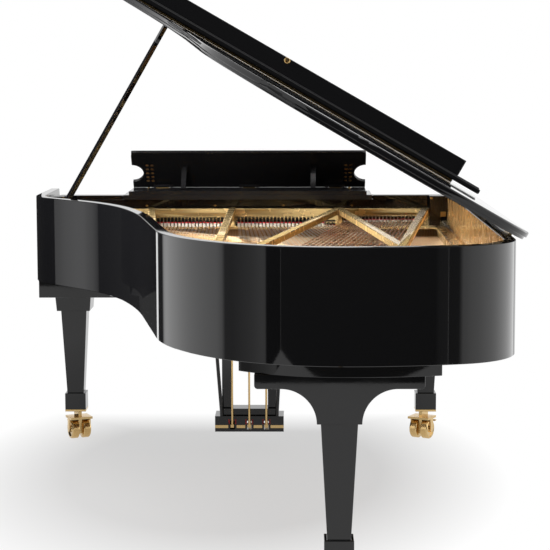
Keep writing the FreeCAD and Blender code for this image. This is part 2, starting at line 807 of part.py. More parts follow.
strut_starts = (low_side, bass_gap, treble_gaps[0], treble_gaps[1])
metal = [panel, foot, capo, tenor_capo]
struts = []
strut_y = float(capo_end) - V["strut_width"] / 2
for x in strut_starts:
    half = V["strut_width"] / 2
    metal.append(span(x - half, x + half, capo_y, capo_end, plate_top, capo_top))
for x, end_shares in zip(strut_starts, STRUT_END_SHARES):
    start = Vector(x, strut_y, 0)
    end = plan(*end_shares)
    struts.append(bar(start, end, C["strut_width"], strut_z, C["strut_height"]))
    stop = unit(end - start) * V["strut_width"]
    metal.append(bar(end - stop, end, C["strut_width"], plate_top, strut_z - plate_top))
bass_start = Vector(low_side, strut_y, 0)
meeting = bass_start + (plan(*STRUT_END_SHARES[0]) - bass_start) * MEETING_SHARE
struts.append(bar(Vector(bass_gap, strut_y, 0), meeting, C["strut_width"], strut_z, C["strut_height"]))
plate = metal[0].multiFuse(metal[1:] + struts).removeSplitter()
feature("iron_plate", plate.cut(bridge_room()))

# Dampers rest on the strings, with lower heads where a plate strut crosses them.
DAMPER_SHARE = 0.77
LIFT_SHARE = 1.3
damper_width = note_pitch * DAMPER_SHARE
heads = []
for note in range(DAMPED_NOTES):
    centre = note_at_depth(note, C["damper_depth"])
    base = float(bass_z if note < BASS_NOTES else string_z) + string_gauge(note) + V["fit_clearance"]
    corner = centre - Vector(damper_width / 2, V["damper_length"] / 2, -base)
    reach = Part.makeBox(damper_width, V["damper_length"], V["damper_height"] * LIFT_SHARE, corner)
    crossed = any(strut.distToShape(reach)[0] < V["plate_clearance"] for strut in struts)
    rise = V["damper_low"] if crossed else V["damper_height"]
    heads.append(Part.makeBox(damper_width, V["damper_length"], rise, corner))
feature("damper_heads", Part.makeCompound(heads))

# Keyboard: alternate white keys form two sets, black keys a third.
WHITE_KEYS = 52
OCTAVE = (True, False, True, True, False, True, False, True, True, False, True, False)
SHARP_SHIFT_SHARES = {1: 0, 4: -0.13, 6: 0.13, 9: -0.17, 11: 0.17}
key_bottom = rim_bottom + C["key_rest"]
key_top = key_bottom + C["key_thickness"]
key_y = depth(C["key_front"])
key_back = key_y + C["key_length"]
head_back = key_y + C["key_head"]
sharp_back = key_y + C["key_visible"]
board_left = -V["key_pitch"] * WHITE_KEYS / 2


def keyboard():
    whites = []
    blacks = []
    for note in range(NOTES):
        step = note % len(OCTAVE)
        edge = board_left + V["key_pitch"] * len(whites)
        if OCTAVE[step]:
            whites.append((note, edge, edge + V["key_pitch"]))
        else:
            blacks.append((note, edge + V["key_pitch"] * SHARP_SHIFT_SHARES[step]))
    return whites, blacks


def white_key(left, right, blacks):
    gap = V["key_gap"]
    tail_left, tail_right = left + gap / 2, right - gap / 2
    for note, middle in blacks:
        low = middle - V["sharp_width"] / 2 - gap
        high = middle + V["sharp_width"] / 2 + gap
        if low < left + gap < high:
            tail_left = high
        if low < right - gap < high:
            tail_right = low
    head = span(left + gap / 2, right - gap / 2, key_y, head_back, key_bottom, key_top)
    tail = span(tail_left, tail_right, head_back, key_back, key_bottom, key_top)
    return head.fuse(tail).removeSplitter()


def black_key(middle):
    half = V["sharp_width"] / 2
    stick = span(middle - half, middle + half, head_back + C["sharp_clearance"], key_back, key_bottom, key_top)
    slope = V["sharp_rise"]
    low = float(head_back + C["sharp_clearance"])
    corners = [(low, 0), (float(sharp_back), 0), (float(sharp_back), slope), (low + slope, slope), (low, 0)]
    wire = Part.makePolygon([Vector(middle - half, y, float(key_top) + z) for y, z in corners])
    ebony = Part.Face(wire).extrude(Vector(2 * half, 0, 0))
    return stick.fuse(ebony).removeSplitter()


whites, blacks = keyboard()
white_shapes = [white_key(left, right, blacks) for note, left, right in whites]
feature("white_keys_a", Part.makeCompound(white_shapes[0::2]))
feature("white_keys_b", Part.makeCompound(white_shapes[1::2]))
feature("black_keys", Part.makeCompound([black_key(middle) for note, middle in blacks]))

# Key frame: three rails and two cheeks on the keybed, with a rounded balance rail.
frame_half = C["key_pitch"] * WHITE_KEYS / 2
rail_low = rim_bottom
front_rail = box("front_rail", frame_half * 2, C["key_head"] - C["key_gap"], C["key_rest"] / 3,
                 -frame_half, key_y, rail_low)
pivot_y = depth(C["balance_depth"])
pivot_z = key_bottom - C["balance_radius"]
middle_rail = box("middle_rail", frame_half * 2, C["key_head"], C["key_rest"] - C["balance_radius"],
                  -frame_half, pivot_y - C["key_head"] / 2, rail_low)
ridge = rod("balance_ridge", C["balance_radius"] - C["fit_clearance"] / 2, frame_half * 2,
            -frame_half, pivot_y, pivot_z, AXIS_X)
back_rail = box("back_rail", frame_half * 2, C["key_head"] / 2, C["key_rest"] - C["fit_clearance"],
                -frame_half, key_back - C["key_head"] / 2, rail_low)
side_rails = [
    box("side_rail_%d" % index, C["key_head"] / 4, C["key_length"], C["key_rest"] / 3, x, key_y, rail_low)
    for index, x in enumerate((-frame_half, frame_half - C["key_head"] / 4))
]
keep(joined("key_frame", [front_rail, middle_rail, ridge, back_rail] + side_rails), "key_frame")

# Hammers swing on a rail held by two brackets that stand on the key frame's ends.
hammer_y = depth(C["hammer_pivot_depth"])
hammer_z = rim_bottom + C["hammer_pivot_rise"]
strike_y = hammer_y + C["hammer_shank"]
BUTT_SHARE = 0.05
SHANK_SHARE = 0.024
HEAD_SHARE = 0.24


def hammer(note):
    x = note_at_depth(note, C["hammer_pivot_depth"] + C["hammer_shank"]).x
    butt = V["hammer_shank"] * BUTT_SHARE
    thin = V["hammer_shank"] * SHANK_SHARE
    deep = V["hammer_shank"] * HEAD_SHARE
    wide = damper_width
    pivot = Vector(x - wide / 4, float(hammer_y), float(hammer_z))
    barrel = Part.makeCylinder(butt, wide / 2, pivot, AXIS_X)
    shank = span(x - wide / 4, x + wide / 4, hammer_y, strike_y, float(hammer_z) - thin, float(hammer_z) + thin)
    low = float(hammer_z) - 2 * thin
    top = float(bass_z if note < BASS_NOTES else string_z) - string_gauge(note) - V["hammer_travel"]
    y = float(strike_y)
    corners = [(y - deep / 3, low), (y + deep / 3, low), (y + deep / 2, top - deep), (y + deep / 8, top)]
    corners += [(y - deep / 8, top), (y - deep / 2, top - deep), (y - deep / 3, low)]
    wire = Part.makePolygon([Vector(x - wide / 2, a, b) for a, b in corners])
    head = Part.Face(wire).extrude(Vector(wide, 0, 0))
    return barrel.multiFuse([shank, head]).removeSplitter()


hammer_sets = {"hammers_white_a": whites[0::2], "hammers_white_b": whites[1::2], "hammers_black": blacks}
for label, keys in hammer_sets.items():
    feature(label, Part.makeCompound([hammer(key[0]) for key in keys]))

rail_gap = C["hammer_shank"] * BUTT_SHARE + C["fit_clearance"]
BRACKET_SHARES = (0.03, 0.19)
side_room = inner_half - frame_half
bracket_in = frame_half + side_room * BRACKET_SHARES[0]
rail_half = frame_half + side_room * BRACKET_SHARES[1]
rail_deep = C["rail_thickness"] / 2
hammer_rail = box("hammer_rail", rail_half * 2, rail_deep, C["rail_thickness"],
                  -rail_half, hammer_y - rail_gap - rail_deep, hammer_z - C["rail_thickness"] / 2)
brackets = [
    box("bracket_%d" % index, rail_half - bracket_in, C["key_head"] * 2,
        hammer_z + C["rail_thickness"] / 2 - rim_bottom, x, hammer_y - rail_gap - C["key_head"] * 2, rim_bottom)
    for index, x in enumerate((-rail_half, bracket_in))
]
keep(joined("action_frame", [hammer_rail] + brackets), "action_frame")

# Front of the keyboard.
slip_half = inner_half
keep(box("key_slip", slip_half * 2, C["slip_thickness"], C["slip_height"], -slip_half, front, rim_bottom), "key_slip")
cheek_in = frame_half + C["key_gap"] * 5
cheek_boxes = [
    box("cheek_%d" % index, inner_half - cheek_in, C["cheek_depth"], C["cheek_height"],
        x, depth(C["slip_thickness"]), rim_bottom)
    for index, x in enumerate((-inner_half, cheek_in))
]
keep(group("cheek_blocks", cheek_boxes), "cheek_blocks")

# Fallboard, stored open: a board with a rounded back edge on its hinge line.
fall_body = doc.addObject("PartDesign::Body", "fall_panel")
fall_half = C["fall_thickness"] / 2
nose = C["fall_thickness"] / 4
fall_profile = polygon_sketch(fall_body, "fall_profile", "YZ_Plane", [
    (-fall_half, ZERO), (fall_half, ZERO), (fall_half, C["fall_length"] - nose),
    (fall_half - nose, C["fall_length"]), (nose - fall_half, C["fall_length"]),
    (-fall_half, C["fall_length"] - nose),
])
pad(fall_body, fall_profile, (inner_half - C["plate_clearance"]) * 2, midplane=True)
fall_barrel = rod("fall_barrel", fall_half, (inner_half - C["plate_clearance"]) * 2,
                  C["plate_clearance"] - inner_half, ZERO, ZERO, AXIS_X)
fall_pin = rod("fall_pin", C["fall_thickness"] / 4, pivot_half * 2, -pivot_half, ZERO, ZERO, AXIS_X)
fallboard = joined("fallboard_joined", [fall_body, fall_barrel, fall_pin])
fallboard.Placement = Placement(Vector(0, 0, 0), Rotation(AXIS_X, -V["fall_lean"]))
place(fallboard, ZERO, depth(C["fall_depth"]), rim_bottom + C["fall_rise"])
keep(fallboard, "fallboard")

# Cross rails between the arms: stretcher behind the fallboard, two rails under the desk tray.
tray_z = C["rim_top"] - C["tray_rise"]
lean_reach = V["fall_length"] * math.sin(math.radians(V["fall_lean"]))
stretcher_y = depth(C["fall_depth"]) + fall_half + lean_reach + C["plate_clearance"]
stretcher = box("stretcher", inner_half * 2, C["rail_thickness"], C["rim_depth"] / 3,
                -inner_half, stretcher_y, tray_z - C["rim_depth"] / 3 - C["plate_clearance"])
front_bar = box("front_bar", inner_half * 2, C["rail_thickness"], C["rail_height"],
                -inner_half, depth(C["tray_front"]), tray_z - C["rail_height"])
rear_bar_y = depth(C["lid_joint"]) - C["rail_thickness"]
rear_bar = box("rear_bar", inner_half * 2, C["rail_thickness"], C["rail_height"],
               -inner_half, rear_bar_y, tray_z - C["rail_height"])
keep(group("cross_rails", [stretcher, front_bar, rear_bar]), "cross_rails")

# Desk tray with its hinge rod.
tray_width = C["desk_width"] + C["tray_margin"] * 2
tray_half = tray_width / 2
tray_y = depth(C["tray_front"])
tray_top = tray_z + C["tray_base"] + C["tray_cap"]
desk_pivot_y = tray_y + C["tray_step"] * 1.5
pin_rise = C["desk_thickness"] / 2
desk_pin = C["desk_thickness"] / 6
tray_base = box("tray_base", tray_width, C["tray_depth"], C["tray_base"], -tray_half, tray_y, tray_z)
tray_cap = box("tray_cap", tray_width - C["tray_step"] * 2, C["tray_depth"] - C["tray_step"], C["tray_cap"],
               C["tray_step"] - tray_half, tray_y + C["tray_step"] / 2, tray_z + C["tray_base"])
desk_half = C["desk_width"] / 2
LUG_SHARES = (-0.74, 0.0, 0.74)
lug_wide = C["desk_width"] / 24
tray_items = [tray_base, tray_cap]
for index, share in enumerate(LUG_SHARES):
    middle = desk_half * share
    tray_items.append(rod("desk_pin_%d" % index, desk_pin, lug_wide * 2 - C["tray_step"] / 2,
                          middle - lug_wide + C["tray_step"] / 4, desk_pivot_y, tray_top + pin_rise, AXIS_X))
    for side, x in enumerate((middle - lug_wide, middle + lug_wide - C["tray_step"] / 2)):
        tray_items.append(box("tray_lug_%d_%d" % (index, side), C["tray_step"] / 2, pin_rise, pin_rise + desk_pin * 2,
                              x, desk_pivot_y - pin_rise / 2, tray_top))
keep(joined("desk_tray", tray_items), "desk_tray")

# Music desk: panel with round notches in its ends, hinge lugs below and strut lugs behind.
FRET_ROWS = 5
FRET_COLUMNS = 2
FRET_HOLE_SHARE = 1 / 6
FRET_EDGE_SHARE = 1.35
FRET_COLUMN_SHARE = 2.6
FRET_ROW_SHARE = 2.8
NOTCH_SHARE = 0.33
STRUT_X_SHARE = 0.55


def music_desk():
    back = -float(pin_rise)
    faced = back - V["desk_thickness"]
    half = float(desk_half)
    high = V["desk_height"]
    foot = float(pin_rise) * 2
    panel = span(-half, half, faced, back, -V["desk_skirt"], high)
    tools = []
    for side in (-1, 1):
        middle = Vector(side * half, faced - V["overrun"], high * NOTCH_SHARE)
        tools.append(Part.makeCylinder(V["desk_notch"], V["desk_thickness"] + V["overrun"] * 2, middle, AXIS_Y))
        hole = V["desk_notch"] * FRET_HOLE_SHARE
        for row in range(FRET_ROWS):
            for column in range(FRET_COLUMNS):
                x = side * (half - V["desk_notch"] * FRET_EDGE_SHARE - hole * FRET_COLUMN_SHARE * column)
                z = high * NOTCH_SHARE + (row - (FRET_ROWS - 1) / 2) * hole * FRET_ROW_SHARE
                start = Vector(x, faced - V["overrun"], z)
                tools.append(Part.makeCylinder(hole, V["desk_thickness"] + V["overrun"] * 2, start, AXIS_Y))
    panel = panel.cut(Part.makeCompound(tools))
    bore = float(desk_pin) + V["fit_clearance"]
    shell = bore * 1.7
    grown = []
    holes = []
    for share in LUG_SHARES:
        wide = float(lug_wide) * 2 - V["tray_step"] - 2 * V["fit_clearance"] * 2
        x = half * share - wide / 2
        grown.append(Part.makeCylinder(shell, wide, Vector(x, 0, 0), AXIS_X))
        grown.append(span(x, x + wide, faced, back + V["fit_clearance"], 0, foot + shell))
        grown.append(span(x, x + wide, faced, 0, 0, shell))
        start = Vector(x - V["overrun"], 0, 0)
        holes.append(Part.makeCylinder(bore, wide + V["overrun"] * 2, start, AXIS_X))
    return panel.multiFuse(grown).cut(Part.makeCompound(holes)).removeSplitter()


strut_thick = V["desk_thickness"] * 0.9
strut_wide = V["desk_thickness"] * 1.4


def desk_strut_lugs():
    lugs = []
    for side in (-1, 1):
        middle = side * float(desk_half) * STRUT_X_SHARE
        wide = strut_wide / 4
        rise = V["desk_strut"]
        back = -float(pin_rise)
        for x in (middle - strut_wide / 2 - wide - V["fit_clearance"], middle + strut_wide / 2 + V["fit_clearance"]):
            top = rise + strut_thick
            lugs.append(span(x, x + wide, back - V["overrun"], strut_thick / 2, rise - strut_thick, top))
        whole = strut_wide + 2 * wide + 2 * V["fit_clearance"]
        lugs.append(Part.makeCylinder(strut_thick / 6, whole, Vector(middle - whole / 2, 0, rise), AXIS_X))
    return lugs


def desk_struts():
    solids = []
    radius = strut_thick / 2
    for side in (-1, 1):
        x = side * float(desk_half) * STRUT_X_SHARE - strut_wide / 2
        shape = span(x, x + strut_wide, -radius, radius, -V["desk_strut"], 0)
        ends = [Part.makeCylinder(radius, strut_wide, Vector(x, 0, z), AXIS_X) for z in (-V["desk_strut"], 0)]
        shape = shape.multiFuse(ends)
        whole = strut_wide + V["overrun"] * 2
        start = Vector(x - V["overrun"], 0, 0)
        bore = Part.makeCylinder(strut_thick / 6 + V["fit_clearance"], whole, start, AXIS_X)
        solids.append(shape.cut(bore).removeSplitter())
    return Part.makeCompound(solids)


desk_origin = Vector(0, float(desk_pivot_y), float(tray_top + pin_rise))
desk_turn = Rotation(AXIS_X, -V["desk_lean"])
feature("music_desk", music_desk().multiFuse(desk_strut_lugs()).removeSplitter(), Placement(desk_origin, desk_turn))
strut_origin = desk_origin + desk_turn.multVec(Vector(0, 0, V["desk_strut"]))
strut_turn = Rotation(AXIS_X, V["desk_lean"])
feature("desk_struts", desk_struts(), Placement(strut_origin, strut_turn))

# Lid and everything on it, built closed and then turned up about the lid hinges.
lid_bottom = C["rim_top"] + C["lid_gap"]
lid_top = lid_bottom + C["lid_thickness"]
hinge_x = -half_width - C["hinge_out"]
hinge_z = C["rim_top"] - C["hinge_down"]
hinge_point = Vector(float(hinge_x), 0, float(hinge_z))
lid_turn = Rotation(AXIS_Y, -V["lid_angle"])
lid_up = Placement(hinge_point - lid_turn.multVec(hinge_point), lid_turn)
joint_y = depth(C["lid_joint"])


def rounded(shape, radius, level):
    edges = [edge for edge in shape.Edges if abs(edge.BoundBox.ZMax - level) + edge.BoundBox.ZLength < 1e-6]
    free = [edge for edge in edges if abs(edge.CenterOfMass.y - float(joint_y)) > radius]
    return shape.makeFillet(radius, free)


def moulded(upper, lower):
    upper = rounded(upper, V["lid_edge"], upper.BoundBox.ZMax)
    upper = rounded(upper, V["lid_edge"] / 2, upper.BoundBox.ZMin)
    lower = rounded(lower, V["lid_edge"] / 2, lower.BoundBox.ZMin)
    return upper.fuse(lower).removeSplitter()


lid_mid = lid_bottom + C["lid_step_height"]
lid_shape = moulded(
    rim_slab(-C["lid_overhang"], C["lid_joint"], lid_mid, lid_top),
    rim_slab(C["lid_step"] - C["lid_overhang"], C["lid_joint"], lid_bottom, lid_mid))
feature("lid", lid_shape, lid_up)

fold_axis = Vector(0, float(joint_y), float(lid_top) + V["fold_gap"] / 2)
fold_turn = Rotation(AXIS_X, 180)
folded = Placement(fold_axis - fold_turn.multVec(fold_axis), fold_turn)
flap_half = half_width + C["lid_overhang"]
flap_y = depth(C["flap_front"])
flap_bottom = lid_top - C["flap_thickness"]
flap_end = joint_y - C["fit_clearance"]
flap_in = flap_half - C["lid_step"]
flap = moulded(
    span(-flap_half, flap_half, flap_y, flap_end, lid_mid, lid_top),
    span(-flap_in, flap_in, flap_y + C["lid_step"], flap_end, flap_bottom, lid_mid))
feature("front_flap", flap, lid_up.multiply(folded))
lip_half = half_width - C["lip_inset"]
lip_y = flap_y + C["lid_step"] + C["lid_edge"]
lip = span(-lip_half, lip_half, lip_y, lip_y + C["lip_thickness"],
           flap_bottom - C["lip_height"], flap_bottom)
feature("flap_lip", lip, lid_up.multiply(folded))

knuckle = V["fold_gap"] / 2 - V["fit_clearance"]
leaf = V["leaf_thickness"] / 2
strip_half = float(half_width) - V["lip_inset"] / 2
strip = Part.makeCylinder(knuckle, 2 * strip_half, fold_axis - Vector(strip_half, 0, 0), AXIS_X)
strip_leaf = span(-strip_half, strip_half, joint_y, joint_y + C["lip_thickness"], lid_top, lid_top + leaf)
strip_neck = span(-strip_half, strip_half, joint_y, fold_axis.y + knuckle / 2, lid_top, fold_axis.z)
feature("flap_hinge", strip.multiFuse([strip_leaf, strip_neck]).removeSplitter(), lid_up)

HINGE_SHARES = (0.3, 0.56, 0.82)
case_leaves = []
lid_leaves = []
for share in HINGE_SHARES:
    length = V["hinge_length"]
    y = float(depth(C["case_length"] * share))
    third = length / 3
    axis_low = hinge_point + Vector(0, y - length / 2, 0)
    radius = V["hinge_radius"]
    pin_size = radius / 2
    side_x = -float(half_width)
    barrel = Part.makeCylinder(radius, third, axis_low + Vector(0, third, 0), AXIS_Y)
    rod_pin = Part.makeCylinder(pin_size, length, axis_low, AXIS_Y)
    tie = span(hinge_x, side_x, y - third / 2, y + third / 2, hinge_z - radius, hinge_z)
    leaf_plate = span(side_x - V["leaf_thickness"], side_x, y - length / 2, y + length / 2,
                      float(hinge_z) - 6 * radius, float(hinge_z) - radius - V["fit_clearance"])
    leg = span(side_x - V["leaf_thickness"], side_x, y - third / 2, y + third / 2,
               float(hinge_z) - 2 * radius, hinge_z)
    case_leaves.append(barrel.multiFuse([rod_pin, tie, leaf_plate, leg]).removeSplitter())
    halves = []
    gap = V["fit_clearance"]
    for start in (0, 2 * third + gap):
        origin = axis_low + Vector(0, start, 0)
        eye = Part.makeCylinder(radius, third - gap, origin, AXIS_Y)
        low_y = origin.y
        riser = span(hinge_x, float(hinge_x) + radius, low_y, low_y + third - gap, hinge_z, lid_bottom)
        eye = eye.fuse(riser)
        halves.append(eye.cut(Part.makeCylinder(pin_size + gap, third, origin, AXIS_Y)))
    top_plate = span(hinge_x, float(hinge_x) + 9 * radius, y - length / 2, y + length / 2,
                     lid_bottom - C["leaf_thickness"], lid_bottom)
    lid_leaves.append(top_plate.multiFuse(halves).removeSplitter())
feature("lid_hinges", Part.makeCompound(case_leaves))
feature("lid_hinge_leaves", Part.makeCompound(lid_leaves), lid_up)

# Lid stick: stands square to the open lid and folds along the bentside.
FOLD_WAY = Vector(-0.48, 0.877, 0)
stick_x = float(inner_half - C["stick_inset"])
stick_foot = Vector(stick_x, float(depth(C["stick_depth"])), V["rim_top"] - V["stick_drop"])
stick_way = lid_turn.multVec(AXIS_Z)
stick_axis = unit(stick_way.cross(FOLD_WAY))
lid_face = hinge_point + stick_way * (float(lid_bottom) - float(hinge_z))
stick_reach = (lid_face - stick_foot).dot(stick_way)
stick_turn = Rotation(stick_axis, stick_way.cross(stick_axis), stick_way, "XZY")
stick_place = Placement(stick_foot, stick_turn)
stick_length = stick_reach - V["cup_thickness"] - V["fit_clearance"]


def lid_stick():
    foot = V["stick_width"] / 2
    tip = V["stick_tip"] / 2
    thick = V["stick_thickness"]
    corners = [(-foot, 0), (foot, 0), (tip, stick_length - tip), (-tip, stick_length - tip), (-foot, 0)]
    wire = Part.makePolygon([Vector(-thick / 2, y, z) for y, z in corners])
    shaft = Part.Face(wire).extrude(Vector(thick, 0, 0))
    base = Part.makeCylinder(foot, thick, Vector(-thick / 2, 0, 0), AXIS_X)
    end = Part.makeCylinder(tip, thick, Vector(-thick / 2, 0, stick_length - tip), AXIS_X)
    reach = thick / 2 + V["overrun"]
    bore = Part.makeCylinder(foot / 3 + V["fit_clearance"], reach * 2, Vector(-reach, 0, 0), AXIS_X)
    return shaft.multiFuse([base, end]).cut(bore).removeSplitter()


def stick_bracket():
    foot = V["stick_width"] / 2
    thick = V["stick_thickness"]
    ear = thick / 3
    gap = V["fit_clearance"] * 2
    drop = V["stick_width"] * 1.6
    local = []
    for x in (-thick / 2 - gap - ear, thick / 2 + gap):
        local.append(span(x, x + ear, -foot, foot, -drop, foot))
    whole = thick + 2 * gap + 2 * ear
    local.append(Part.makeCylinder(foot / 3, whole, Vector(-whole / 2, 0, 0), AXIS_X))
    for piece in local:
        piece.Placement = stick_place
    low = stick_foot.z - drop
    high = stick_foot.z - foot - thick / 2
    base = span(stick_foot.x - thick, inner_half, stick_foot.y - 2 * foot, stick_foot.y + 2 * foot, low, high)
    fused = base.multiFuse(local).removeSplitter()
    trim = span(-V["case_width"], V["case_width"], -V["case_length"], V["case_length"], low - 4 * drop, low)
    return fused.cut(trim)


feature("lid_stick", lid_stick(), stick_place)
feature("stick_bracket", stick_bracket())
pad_base = stick_foot + stick_way * (stick_reach - V["cup_thickness"])
feature("stick_pad", Part.makeCylinder(V["cup_radius"], V["cup_thickness"], pad_base, stick_way))

# Front legs: block, tapered shaft and foot block with a bore for the caster stem.
block_low = keybed_bottom - C["leg_block_height"]
cuff_top = C["foot_height"] + C["cuff_height"]


def leg_bore(name, x, y):
    return rod(name, C["stem_radius"] + C["fit_clearance"], C["stem_length"] + C["plate_clearance"],
               x, y, C["foot_height"])


def front_leg(label, x):
    body = doc.addObject("PartDesign::Body", label + "_wood")
    square = polygon_sketch(body, label + "_block", "XY_Plane",
                            rectangle(C["leg_block"] / 2, C["leg_block"] / 2), keybed_bottom)
    ledge = polygon_sketch(body, label + "_ledge", "XY_Plane",
                           rectangle(C["leg_block_low"] / 2, C["leg_block_low"] / 2), block_low)
    loft(body, square, ledge)
    top = polygon_sketch(body, label + "_top", "XY_Plane", rectangle(C["leg_top"] / 2, C["leg_top"] / 2), block_low)
    low = polygon_sketch(body, label + "_low", "XY_Plane",
                         rectangle(C["leg_bottom"] / 2, C["leg_bottom"] / 2), cuff_top)
    loft(body, top, low)
    cuff = polygon_sketch(body, label + "_cuff", "XY_Plane",
                          rectangle(C["cuff_width"] / 2, C["cuff_width"] / 2), C["foot_height"])
    pad(body, cuff, C["cuff_height"])
    leg = minus(label, body, leg_bore(label + "_bore", ZERO, ZERO))
    place(leg, x, depth(C["leg_depth"]), ZERO)
    return keep(leg, label)


leg_x = half_width - C["leg_inset"]
front_leg("leg_treble", leg_x)
front_leg("leg_bass", -leg_x)

rear_leg_x = half_width - C["rear_leg_inset"]
rear_leg_depth = C["case_length"] - C["rear_leg_tail"]

# Rear leg: a bracket with curved shoulders over a tapered shaft, under a curved block.
rear_block_low = rim_bottom - C["rear_block_height"]
block_shape = rim_slab(C["rear_block_inset"], 0, rear_block_low, rim_bottom)
rear_front = rear_leg_depth - C["rear_block_length"] / 2
block_cut = span(-rear_leg_x - C["rear_block_width"] / 2, C["rear_block_width"] / 2 - rear_leg_x,
                 depth(rear_front), V["case_length"], rear_block_low, rim_bottom)
feature("rear_leg_block", block_shape.common(block_cut))


def rear_leg():
    high = float(rear_block_low)
    low = high - V["shoulder_height"]
    end_low = high - V["shoulder_end"]
    wide = V["shoulder_width"] / 2
    top = V["leg_top"] / 2
    neck = top + V["shoulder_ledge"]
    turn = V["shoulder_end"] / 3
    bend = turn * (1 - math.sqrt(0.5))
    under = end_low - turn
    sweep = under - low
    hollow = sweep * (1 - math.sqrt(0.5))
    right = [
        Vector(wide, 0, high), Vector(wide, 0, end_low), Vector(wide - bend, 0, under + bend),
        Vector(wide - turn, 0, under), Vector(neck + sweep, 0, under),
        Vector(neck + hollow, 0, under - hollow), Vector(neck, 0, low),
    ]
    left = [Vector(-point.x, 0, point.z) for point in right]
    edges = [Part.makeLine(left[0], right[0]), Part.makeLine(right[-1], left[-1])]
    for side in (right, left):
        edges.append(Part.makeLine(side[0], side[1]))
        edges.append(Part.Arc(side[1], side[2], side[3]).toShape())
        edges.append(Part.makeLine(side[3], side[4]))
        edges.append(Part.Arc(side[4], side[5], side[6]).toShape())
    edges = Part.__sortEdges__(edges)
    face = Part.Face(Part.Wire(edges))
    face.translate(Vector(0, -neck, 0))
    bracket = face.extrude(Vector(0, 2 * neck, 0))
    sections = []
    for half, z in ((top, low), (V["leg_bottom"] / 2, float(cuff_top))):
        section = rectangle_wire(-half, half, -half, half)
        section.translate(Vector(0, 0, z))
        sections.append(section)
    shaft = Part.makeLoft(sections, True, True)
    half = V["cuff_width"] / 2
    cuff = span(-half, half, -half, half, C["foot_height"], cuff_top)
    bore_size = V["stem_radius"] + V["fit_clearance"]
    bore = Part.makeCylinder(bore_size, V["stem_length"] + V["plate_clearance"], Vector(0, 0, V["foot_height"]))
    return bracket.multiFuse([shaft, cuff]).removeSplitter().cut(bore)


rear_spot = Vector(-float(rear_leg_x), float(depth(rear_leg_depth)), 0)
feature("leg_rear", rear_leg(), Placement(rear_spot, Rotation()))

# Casters: swivelling body on a stem, two wheels on one axle, and a brake lever.
disc_z = C["foot_height"] - C["caster_disc_height"] - C["plate_clearance"] / 3
axle_half = C["caster_web"] / 2 + C["wheel_width"] + C["fit_clearance"] * 3


lever_wide = C["caster_web"] * 0.4
web_back = C["caster_disc"] / 2
brake_y = web_back - C["brake_thickness"]
brake_z = C["wheel_radius"] * 1.5
brake_pin = C["brake_thickness"] / 3


def caster_body(label):
    disc = rod(label + "_disc", C["caster_disc"], C["caster_disc_height"], ZERO, ZERO, disc_z)
    stem = rod(label + "_stem", C["stem_radius"], C["stem_length"] + C["plate_clearance"] / 3,
               ZERO, ZERO, disc_z + C["caster_disc_height"])
    web = box(label + "_web", C["caster_web"], C["caster_disc"] + C["wheel_trail"], disc_z - C["wheel_radius"] / 2,
              -C["caster_web"] / 2, -C["wheel_trail"] - C["caster_disc"] / 2, C["wheel_radius"] / 2)
    axle = rod(label + "_axle", C["axle_radius"], axle_half * 2, -axle_half, -C["wheel_trail"],
               C["wheel_radius"], AXIS_X)
    hood_z = C["wheel_radius"] * 2 + C["hood_gap"]
    hood = box(label + "_hood", (axle_half + C["arm_thickness"]) * 2, C["wheel_radius"] * 2, C["hood_thickness"],
               -axle_half - C["arm_thickness"], -C["wheel_trail"] - C["wheel_radius"], hood_z)
    items = [disc, stem, web, axle, hood]
    for side, x in (("left", -axle_half - C["arm_thickness"]), ("right", axle_half)):
        items.append(box(label + "_arm_" + side, C["arm_thickness"], C["arm_width"],
                         hood_z + C["hood_thickness"] - C["wheel_radius"],
                         x, -C["wheel_trail"] - C["arm_width"] / 2, C["wheel_radius"]))
        items.append(rod(label + "_eye_" + side, C["arm_width"] / 2, C["arm_thickness"],
                         x, -C["wheel_trail"], C["wheel_radius"], AXIS_X))
    whole = joined(label + "_whole", items)
    slot = box(label + "_slot", lever_wide + C["fit_clearance"] * 2, web_back, C["brake_thickness"] * 4,
               -lever_wide / 2 - C["fit_clearance"], ZERO, brake_z - C["brake_thickness"] * 2)
    pin = rod(label + "_pin", brake_pin, C["caster_web"], -C["caster_web"] / 2, brake_y, brake_z, AXIS_X)
    return joined(label, [minus(label + "_slotted", whole, slot), pin])


def wheel_pair(label):
    wheels = []
    inner_r = C["axle_radius"] + C["fit_clearance"]
    tread = C["wheel_radius"]
    gap = C["caster_web"] / 2 + C["fit_clearance"]
    groove = C["wheel_radius"] / 8
    for side, sign in (("left", -1), ("right", 1)):
        body = doc.addObject("PartDesign::Body", label + "_" + side)
        near = gap * sign
        far = (gap + C["wheel_width"]) * sign
        edge = (gap + groove) * sign
        out = (gap + C["wheel_width"] - groove) * sign
        sketch = polygon_sketch(body, label + "_" + side + "_section", "XY_Plane", [
            (near, inner_r), (far, inner_r), (far, tread - groove),
            (out, tread), (edge, tread), (near, tread - groove),
        ])
        turn = body.newObject("PartDesign::Revolution", label + "_" + side + "_turn")
        turn.Profile = sketch
        turn.ReferenceAxis = (sketch, ["H_Axis"])
        turn.Angle = 360
        place(body, ZERO, -C["wheel_trail"], C["wheel_radius"])
        wheels.append(body)
    return group(label, wheels)


def brake_lever(label):
    half = lever_wide / 2
    thick = C["brake_thickness"]
    barrel = rod(label + "_barrel", thick, lever_wide, -half, brake_y, brake_z, AXIS_X)
    lever = box(label + "_lever", lever_wide, C["brake_length"], thick, -half, brake_y, brake_z - thick / 2)
    toe = box(label + "_toe", C["caster_web"] * 3, thick * 2, thick,
              -C["caster_web"] * 1.5, brake_y + C["brake_length"] - thick * 2, brake_z - thick / 2)
    bore = rod(label + "_bore", brake_pin + C["fit_clearance"], lever_wide, -half, brake_y, brake_z, AXIS_X)
    return minus(label, joined(label + "_solid", [barrel, lever, toe]), bore)


